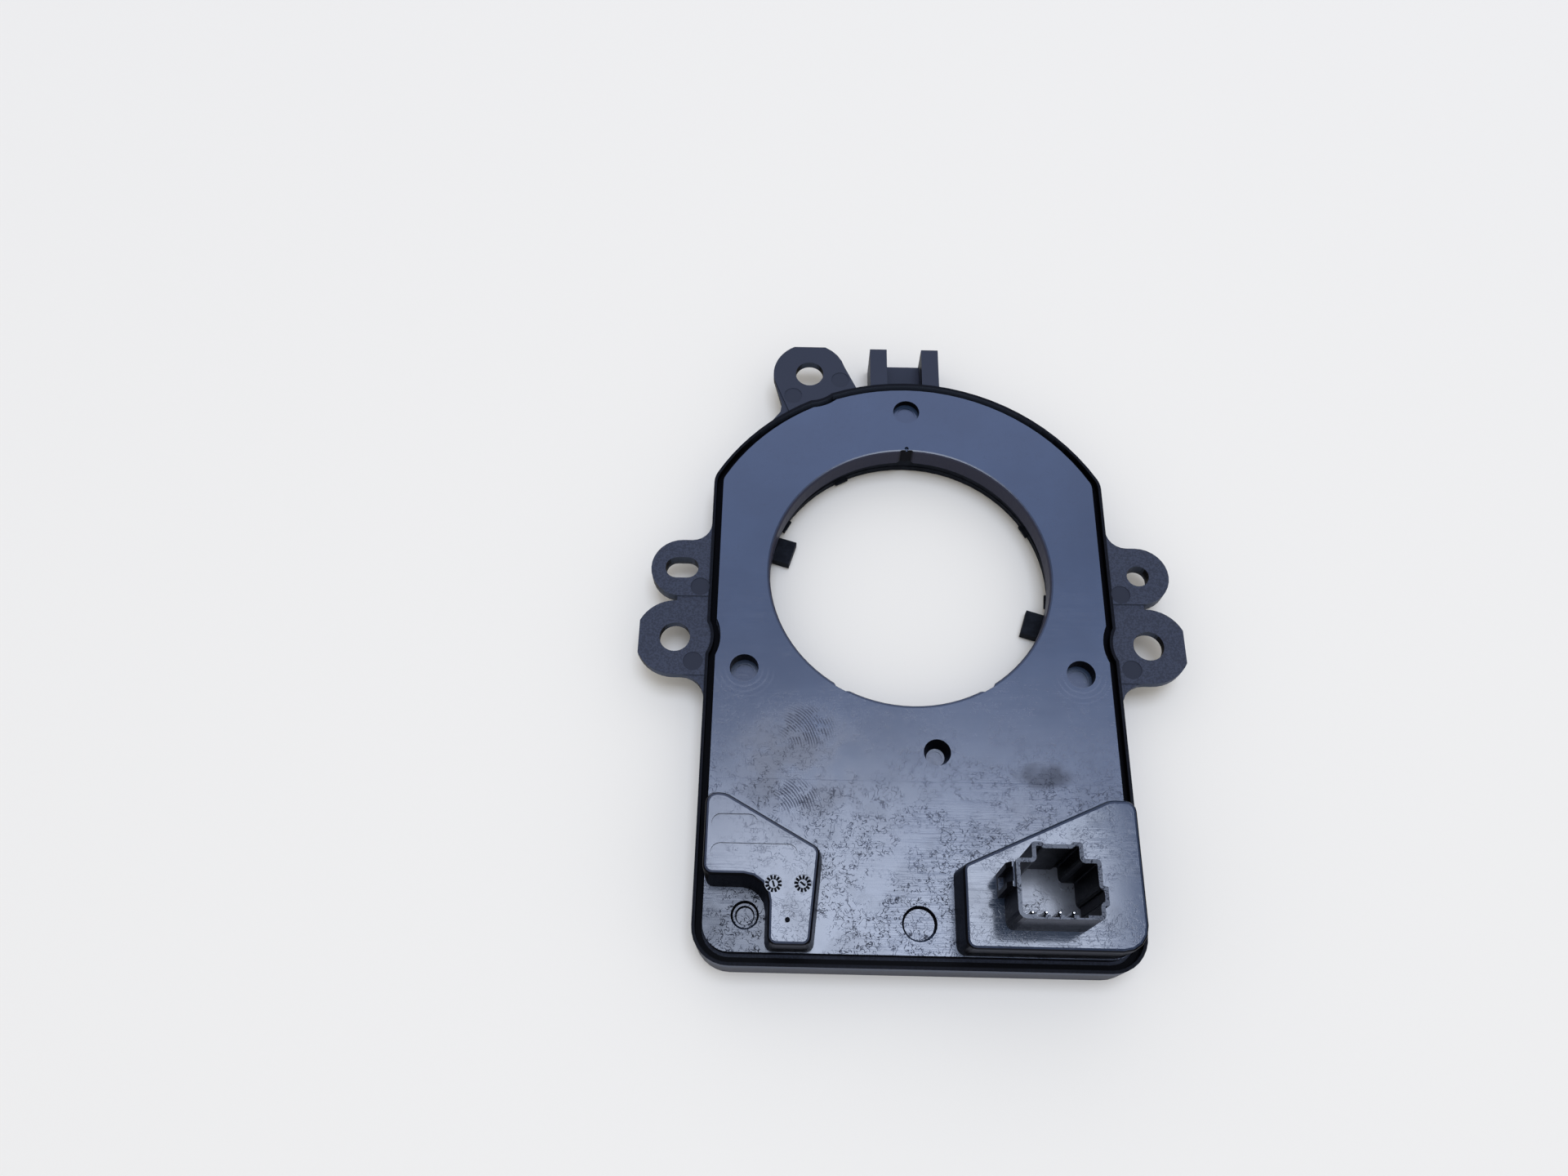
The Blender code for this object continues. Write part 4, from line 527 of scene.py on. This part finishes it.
def base_finish():
    """Fine eroded grain under a painted top sheen on the ears, near black in the groove, and near black
    walls with painted sheen in places.
    """
    finish = Finish("grained_base", IOR=PLASTIC_IOR, Specular_IOR_Level=BASE_SPECULAR)
    place = finish.place()
    _, y, z = finish.parts(place)
    _, toward_far, up = finish.facing()
    cloud = finish.noise(place, *BASE_CLOUD_NOISE)
    grain = finish.noise(place, *GRAIN_NOISE)
    mark = z.fade(MARK_HIGH + MARK_EDGE, MARK_HIGH) * z.fade(MARK_LOW, MARK_LOW + MARK_EDGE)
    # The top tone is painted sheen, with real grain and a darker mark band.
    tone = finish.blend(GRAINED_TOP_SHEEN, shade(GRAINED_TOP_SHEEN, GRAIN_SHADE), grain.fade(*GRAIN_EDGE))
    tone = finish.blend(tone, shade(GRAINED_TOP_SHEEN, MARK_SHADE), mark)
    # Painted shade towards the far end.
    tone = finish.blend(tone, shade(GRAINED_TOP_SHEEN, FAR_PAINTED_SHADE), y.fade(*FAR_PAINTED_SHADE_Y))
    finish.set("Base Color", tone)
    finish.set("Roughness", BASE_ROUGHNESS + cloud * CLOUD_ROUGHENS + mark * MARK_ROUGHENS)
    wave = finish.noise(place, *BASE_WAVE_NOISE) * BASE_WAVE_HEIGHT
    bump = finish.relief(grain * (GRAIN_HEIGHT - mark * MARK_SMOOTHS) + wave)
    # Upward faces show the grained shader with its painted sheen, less on the rim; outer walls low down
    # and far-facing walls show it too, as painted sheen.
    shown = z.fade(*WEB_Z).most(y.fade(*FORK_Y))
    shown = up.fade(*LOOKS_UP) * shown * (1.0 - z.fade(*BASE_RIM_Z) * BASE_RIM_DIMS)
    outside = (z.fade(*OUTSIDE_Z) * OUTSIDE_SHEEN).most(toward_far.fade(*LOOKS_FAR) * BACK_SHEEN)
    finish.beside(shown.most(outside), IOR=WALL_IOR, Roughness=BASE_WALL_ROUGHNESS)
    # Near-facing walls get a painted sheen above and a painted shade at the foot.
    sheen = finish.blend(WALL_FOOT_SHADE, WALL_SHEEN, z.fade(*WALL_SHEEN_Z))
    finish.set("Base Color", finish.blend(BLACK, sheen, toward_far.fade(*LOOKS_NEAR)))
    finish.set("Normal", bump)
    return finish.material


base_plastic = base_finish()
print(base_plastic.name, "has", len(base_plastic.node_tree.nodes), "nodes")

# %% [markdown]
# ## The finishes of the other pieces
# The ring, gears, magnets, board and electronics each get their own finish too. Most of them are
# inside the housing, so one short function with a few sizes serves them all: a tone that clouds a
# little, a grain and a roughness.

# %% One function for the plain finishes
CLOUD_TO_GRAIN = 0.25
PLAIN_CLOUD_NOISE, PLAIN_CLOUD_EDGE = (3.0, 0.6), (0.35, 0.65)
PLAIN_GRAIN_NOISE = (2.0, 0.6)
PLAIN_ROUGHENS = 0.16


def plain_finish(name, tone, other, roughness, grain, height, metallic=0.0, ior=PLASTIC_IOR):
    """Finish with cloudy tone, a grain of a given size in metres and its height in micrometres."""
    finish = Finish(name, Metallic=metallic, IOR=ior)
    place = finish.place()
    cloud = finish.noise(place, CLOUD_TO_GRAIN / grain, *PLAIN_CLOUD_NOISE)
    finish.set("Base Color", finish.blend(tone, other, cloud.fade(*PLAIN_CLOUD_EDGE)))
    finish.set("Roughness", roughness + (cloud - MEAN) * PLAIN_ROUGHENS)
    finish.relief(finish.noise(place, 1 / grain, *PLAIN_GRAIN_NOISE) * height)
    return finish.material


print("plain finishes ready")

# %% Assign every finish to its nodes
FINISHES = {
    "housing_cover": cover_plastic,
    "housing_base": base_plastic,
    "rotor_ring": plain_finish(
        "driven_ring", (0.009, 0.011, 0.016), (0.014, 0.017, 0.025), 0.42, 0.0004, 10.0, ior=WALL_IOR),
    "measuring_gear": plain_finish(
        "ivory_gear", (0.72, 0.68, 0.58), (0.66, 0.62, 0.52), 0.38, 0.0006, 4.0),
    "gear_magnet": plain_finish(
        "dark_magnet", (0.10, 0.10, 0.11), (0.16, 0.16, 0.17), 0.34, 0.0003, 4.0, 0.9),
    "circuit_board": plain_finish(
        "solder_mask", (0.010, 0.085, 0.035), (0.014, 0.110, 0.048), 0.30, 0.0005, 5.0),
    "can": plain_finish(
        "can_metal", (0.62, 0.63, 0.65), (0.70, 0.71, 0.72), 0.26, 0.0004, 3.0, 1.0),
    "ferrite": plain_finish(
        "ferrite", (0.045, 0.045, 0.050), (0.060, 0.060, 0.064), 0.55, 0.0003, 9.0),
    "ceramic": plain_finish(
        "ceramic", (0.46, 0.32, 0.20), (0.52, 0.38, 0.25), 0.50, 0.0003, 4.0),
    "chip": plain_finish(
        "moulded_chip", (0.016, 0.016, 0.017), (0.022, 0.022, 0.023), 0.48, 0.0002, 6.0),
    "tick": plain_finish(
        "moulded_tick", (0.003, 0.003, 0.005), (0.005, 0.006, 0.009), 0.50, 0.0002, 3.0, ior=WALL_IOR),
    "contact": plain_finish(
        "tinned_contact", (0.72, 0.71, 0.68), (0.80, 0.79, 0.77), 0.24, 0.0003, 2.0, 1.0),
}
FAMILIES = {
    "buffer_capacitor": "can", "filter_choke": "ferrite", "ceramic_capacitor": "ceramic",
    "timing_crystal": "can", "contact_pin": "contact"}
for name, node in nodes.items():
    family = next((key for key in FINISHES if name.startswith(key)), None)
    family = family or next((look for start, look in FAMILIES.items() if name.startswith(start)), "chip")
    for slot in node.material_slots:
        slot.material = FINISHES[family]
print("finishes on", len(nodes), "nodes")

# %% [markdown]
# ## Contacts, leads and ticks by Geometry Nodes
# Three small things repeat: four contacts in the socket, the bent leads round the larger chips and
# the ticks in the two date dials. Copies placed in a Python loop would do, but a node tree takes
# the count, the spacing and the shape as named inputs. A second small class builds such trees; each
# one ends by realising its copies, giving them a material and turning them into a plain mesh.


# %% Helper for geometry trees
class Tree:
    """Geometry node tree with named inputs, used once and turned into a plain mesh."""

    def __init__(self, name, **inputs):
        self.group = bpy.data.node_groups.new(name, "GeometryNodeTree")
        self.inputs = {}
        self.values = {}
        for key, value in inputs.items():
            kind = {int: "NodeSocketInt", tuple: "NodeSocketVector"}.get(type(value), "NodeSocketFloat")
            made = self.group.interface.new_socket(key, in_out="INPUT", socket_type=kind)
            self.inputs[key] = made.identifier
            self.values[key] = value
        self.group.interface.new_socket("Geometry", in_out="OUTPUT", socket_type="NodeSocketGeometry")
        self.entry = self.group.nodes.new("NodeGroupInput")

    def __getitem__(self, key):
        return self.entry.outputs[key]

    def node(self, kind, settings=None, inputs=None, output=0):
        """Make a node: its settings first, then the values or links of its sockets."""
        made = self.group.nodes.new(kind)
        for key, value in (settings or {}).items():
            setattr(made, key, value)
        for key, value in (inputs or {}).items():
            if isinstance(value, bpy.types.NodeSocket):
                self.group.links.new(value, made.inputs[key])
            else:
                made.inputs[key].default_value = value
        return made.outputs[output]

    def math(self, operation, first, second):
        return self.node("ShaderNodeMath", {"operation": operation}, {0: first, 1: second})

    def vector(self, x=0.0, y=0.0, z=0.0):
        return self.node("ShaderNodeCombineXYZ", None, {"X": x, "Y": y, "Z": z})

    def sampled_line(self, end, count):
        """Straight line of length 1 with a given number of points."""
        line = self.node("GeometryNodeCurvePrimitiveLine", None, {"End": end})
        return self.node("GeometryNodeResampleCurve", None, {"Curve": line, "Count": count})

    def copies(self, points, instance, rotation=(0.0, 0.0, 0.0)):
        return self.node("GeometryNodeInstanceOnPoints", None, {
            "Points": points, "Instance": instance, "Rotation": rotation})

    def join(self, *parts):
        joined = self.group.nodes.new("GeometryNodeJoinGeometry")
        for part in reversed(parts):
            self.group.links.new(part, joined.inputs[0])
        return joined.outputs[0]

    def piece(self, geometry, material):
        """Realise the copies, give them a material and return the object that holds the mesh."""
        whole = self.node("GeometryNodeRealizeInstances", None, {"Geometry": geometry})
        whole = self.node("GeometryNodeSetMaterial", None, {"Geometry": whole, "Material": material})
        last = self.group.nodes.new("NodeGroupOutput")
        self.group.links.new(whole, last.inputs[0])
        name = self.group.name
        carrier = bpy.data.objects.new(name, bpy.data.meshes.new(name))
        bpy.context.scene.collection.objects.link(carrier)
        modifier = carrier.modifiers.new("shape", "NODES")
        modifier.node_group = self.group
        for key, value in self.values.items():
            modifier[self.inputs[key]] = value
        shaped = carrier.evaluated_get(bpy.context.evaluated_depsgraph_get())
        mesh = bpy.data.meshes.new_from_object(shaped)
        carrier.modifiers.clear()
        carrier.data = mesh
        print(name, len(mesh.polygons), "faces")
        return carrier


print("tree helper ready")

# %% Contacts with rounded corners and tapered tips
CONTACT_ROUNDING = 0.00016
ROUNDING_STEPS = 3
CONTACT_TAPER = 0.0009
CONTACT_RINGS = 8
TIP_SHRINK = 0.62
contact_names = [f"contact_pin_{i}" for i in (1, 2, 3, 4)]
(first_x, first_y, first_z), (far_x, far_y, top_z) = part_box(contact_names[0])
contact_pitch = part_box(contact_names[1])[0][0] - first_x

tree = Tree(
    "socket_contacts", Count=len(contact_names), Pitch=contact_pitch, Width=far_x - first_x,
    Height=top_z - first_z, Taper=CONTACT_TAPER,
    Start=((first_x + far_x) / 2, (first_y + far_y) / 2, first_z))
profile = tree.node(
    "GeometryNodeCurvePrimitiveQuadrilateral", None, {"Width": tree["Width"], "Height": tree["Width"]})
profile = tree.node("GeometryNodeFilletCurve", {"mode": "POLY"}, {
    "Curve": profile, "Radius": CONTACT_ROUNDING, "Count": ROUNDING_STEPS})
line = tree.sampled_line((0.0, 0.0, 1.0), CONTACT_RINGS)
index = tree.node("GeometryNodeInputIndex")
along = tree.math("DIVIDE", tree.math("SUBTRACT", index, 1.0), CONTACT_RINGS - 2.0)
along = tree.math("MAXIMUM", along, 0.0)
foot = tree.math("SUBTRACT", tree["Height"], tree["Taper"])
rise = tree.math("ADD", foot, tree.math("MULTIPLY", tree["Taper"], along))
rise = tree.math("MULTIPLY", rise, tree.math("GREATER_THAN", index, 0.5))
line = tree.node("GeometryNodeSetPosition", None, {"Geometry": line, "Position": tree.vector(z=rise)})
narrowing = tree.math("MULTIPLY", tree.math("POWER", along, 2.0), TIP_SHRINK)
blade = tree.node("GeometryNodeCurveToMesh", None, {
    "Curve": line, "Profile Curve": profile, "Scale": tree.math("SUBTRACT", 1.0, narrowing),
    "Fill Caps": True})
row = tree.node("GeometryNodeMeshLine", None, {
    "Count": tree["Count"], "Start Location": tree["Start"], "Offset": tree.vector(x=tree["Pitch"])})
contacts = tree.piece(tree.copies(row, blade), FINISHES["contact"])
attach(contacts, "housing")
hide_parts(*contact_names)

# %% Bent leads round the larger chips
LEAD_WIDTH = 0.00030
LEAD_THICKNESS = 0.00014
LEAD_REACH = 0.00090
LEAD_ROOT = 0.00010
LEAD_RINGS = 9
BEND_FROM, BEND_TO = 0.20, 0.65
BOARD_AIR = 0.00004
LEAD_ROWS = {
    "microcontroller": (8, 0.00080, 4), "bus_transceiver": (4, 0.00100, 2),
    "voltage_regulator": (3, 0.00180, 2)}
board_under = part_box("circuit_board")[0][2]
for chip, (count, pitch, sides) in LEAD_ROWS.items():
    low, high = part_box(chip)
    middle = [(a + b) / 2 for a, b in zip(low, high)]
    drop = board_under - BOARD_AIR - LEAD_THICKNESS / 2 - middle[2]
    tree = Tree(
        f"leads_of_{chip}", Count=count, Pitch=pitch, Sides=sides, Reach=LEAD_REACH, Rise=drop,
        Edge=(high[1] - low[1]) / 2 - LEAD_ROOT, Centre=tuple(middle))
    profile = tree.node(
        "GeometryNodeCurvePrimitiveQuadrilateral", None, {"Width": LEAD_THICKNESS, "Height": LEAD_WIDTH})
    line = tree.sampled_line((0.0, 1.0, 0.0), LEAD_RINGS)
    share = tree.node("GeometryNodeSplineParameter")
    bend = tree.node("ShaderNodeMapRange", {"interpolation_type": "SMOOTHSTEP"}, {
        "Value": share, "From Min": BEND_FROM, "From Max": BEND_TO})
    path = tree.vector(
        y=tree.math("MULTIPLY", share, tree["Reach"]), z=tree.math("MULTIPLY", bend, tree["Rise"]))
    line = tree.node("GeometryNodeSetPosition", None, {"Geometry": line, "Position": path})
    lead = tree.node("GeometryNodeCurveToMesh", None, {
        "Curve": line, "Profile Curve": profile, "Fill Caps": True})
    span = tree.math("MULTIPLY", tree.math("SUBTRACT", tree["Count"], 1.0), tree["Pitch"])
    start = tree.vector(x=tree.math("MULTIPLY", span, -0.5), y=tree["Edge"])
    row = tree.node("GeometryNodeMeshLine", None, {
        "Count": tree["Count"], "Start Location": start, "Offset": tree.vector(x=tree["Pitch"])})
    row = tree.copies(row, lead)
    centres = tree.node("GeometryNodePoints", None, {"Count": tree["Sides"], "Position": tree["Centre"]})
    turn = tree.math("DIVIDE", 2 * math.pi, tree["Sides"])
    turn = tree.vector(z=tree.math("MULTIPLY", tree.node("GeometryNodeInputIndex"), turn))
    leads = tree.piece(tree.copies(centres, row, turn), FINISHES["contact"])
    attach(leads, "housing")

# %% Ticks in the date dials
DIAL_PLACES = ((-0.0266, -0.05469), (-0.0214, -0.05459))
MARK_PLACE = (-0.0240, -0.06089)
DIAL_FLOOR = 0.01791
TICK_COUNT = 12
TICK_SIZE = (0.00072, 0.00040, 0.00012)
TICK_RADIUS = 0.00113
POINTER_SIZE = (0.00110, 0.00034, 0.00012)
POINTER_TURN, POINTER_STEP = 1.9, 0.6
DOT_RADIUS, DOT_SIDES = 0.00046, 20
dial_gap = [b - a for a, b in zip(*DIAL_PLACES)]
tick_middle = DIAL_FLOOR + TICK_SIZE[2] / 2

tree = Tree(
    "dial_ticks", Count=TICK_COUNT, Radius=TICK_RADIUS, Tick=TICK_SIZE, Pointer=POINTER_SIZE,
    Dials=len(DIAL_PLACES), Start=(*DIAL_PLACES[0], tick_middle), Gap=(*dial_gap, 0.0),
    Mark=(*MARK_PLACE, tick_middle))
tick = tree.node("GeometryNodeMeshCube", None, {"Size": tree["Tick"]})
ring = tree.node("GeometryNodeMeshCircle", None, {"Vertices": tree["Count"], "Radius": tree["Radius"]})
index = tree.node("GeometryNodeInputIndex")
turn = tree.math("MULTIPLY", index, tree.math("DIVIDE", 2 * math.pi, tree["Count"]))
pointer = tree.node("GeometryNodeMeshCube", None, {"Size": tree["Pointer"]})
dial = tree.join(tree.copies(ring, tick, tree.vector(z=turn)), pointer)
spots = tree.node("GeometryNodeMeshLine", None, {
    "Count": tree["Dials"], "Start Location": tree["Start"], "Offset": tree["Gap"]})
lean = tree.vector(z=tree.math("ADD", POINTER_TURN, tree.math("MULTIPLY", index, POINTER_STEP)))
dot = tree.node("GeometryNodeMeshCylinder", None, {
    "Vertices": DOT_SIDES, "Radius": DOT_RADIUS, "Depth": TICK_SIZE[2]})
dot = tree.node("GeometryNodeTransform", None, {"Geometry": dot, "Translation": tree["Mark"]})
ticks = tree.piece(tree.join(tree.copies(spots, dial, lean), dot), FINISHES["tick"])
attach(ticks, "housing")

# %% [markdown]
# ## The table and the light
# The part lies on one large pale plane, the table. The room is a world that is even and pale for
# the light it gives, while reflections see a cool ceiling that brightens towards the far wall. One
# large lamp, a little blue, stands for the ceiling light, and the near half of the cover mirrors it.

# %% Table
TABLE_SIDE = 6.0
TABLE_TONE = (0.83, 0.83, 0.83)
TABLE_ROUGHNESS = 0.6

table_mesh = bpy.data.meshes.new("table")
half = TABLE_SIDE / 2
corners = [(-half, -half, 0), (half, -half, 0), (half, half, 0), (-half, half, 0)]
table_mesh.from_pydata(corners, [], [(0, 1, 2, 3)])
table = bpy.data.objects.new("table", table_mesh)
bpy.context.scene.collection.objects.link(table)
paint = Finish("table_paint", Base_Color=TABLE_TONE, Roughness=TABLE_ROUGHNESS)
table.data.materials.append(paint.material)
print("table", TABLE_SIDE, "m wide")

# %% Room
ROOM_LIGHT = (0.735, 0.703, 0.640)
ROOM_SEEN = (0.84, 0.84, 0.84)
CEILING, CEILING_EDGE = (0.50, 0.62, 1.12), (0.25, 0.60)
FAR_WALL, FAR_WALL_EDGE = (0.95, 1.15, 1.95), (0.42, 0.56)

world = bpy.data.worlds.new("room")
bpy.context.scene.world = world
world.use_nodes = True
room = world.node_tree
background = room.nodes["Background"]
ray = room.nodes.new("ShaderNodeLightPath")
direction = room.nodes.new("ShaderNodeTexCoord")
split = room.nodes.new("ShaderNodeSeparateXYZ")
room.links.new(direction.outputs["Generated"], split.inputs[0])


def room_mix(low, high, factor):
    """Colour between two room colours."""
    mix = room.nodes.new("ShaderNodeMix")
    mix.data_type = "RGBA"
    for socket, value in ((mix.inputs[6], low), (mix.inputs[7], high)):
        if isinstance(value, tuple):
            socket.default_value = (*value, 1.0)
        else:
            room.links.new(value, socket)
    room.links.new(factor, mix.inputs["Factor"])
    return mix.outputs[2]


def room_fade(value, start, end):
    """Smooth step of a direction's part."""
    made = room.nodes.new("ShaderNodeMapRange")
    made.interpolation_type = "SMOOTHSTEP"
    room.links.new(value, made.inputs["Value"])
    made.inputs["From Min"].default_value = start
    made.inputs["From Max"].default_value = end
    return made.outputs[0]


ceiling = room_mix(CEILING, FAR_WALL, room_fade(split.outputs["Y"], *FAR_WALL_EDGE))
mirrored = room_mix(ROOM_SEEN, ceiling, room_fade(split.outputs["Z"], *CEILING_EDGE))
lit = room_mix(ROOM_LIGHT, mirrored, ray.outputs["Is Glossy Ray"])
room.links.new(room_mix(lit, ROOM_SEEN, ray.outputs["Is Camera Ray"]), background.inputs["Color"])
print("room of", len(room.nodes), "nodes")

# %% Ceiling light
LAMP_HEIGHT = 3.0
LAMP_PLACE = (0.21, 0.11)
LAMP_SIDE = 1.30
LAMP_POWER = 32.0
LAMP_TINT = (0.88, 0.97, 1.14)

lamp = bpy.data.objects.new("ceiling_light", bpy.data.lights.new("ceiling_light", "AREA"))
lamp.data.shape = "SQUARE"
lamp.data.size = LAMP_SIDE
lamp.data.energy = LAMP_POWER
lamp.data.color = LAMP_TINT
lamp.location = (*LAMP_PLACE, LAMP_HEIGHT)
bpy.context.scene.collection.objects.link(lamp)
bpy.context.scene.view_settings.view_transform = "Standard"
print("lamp", LAMP_POWER, "W")
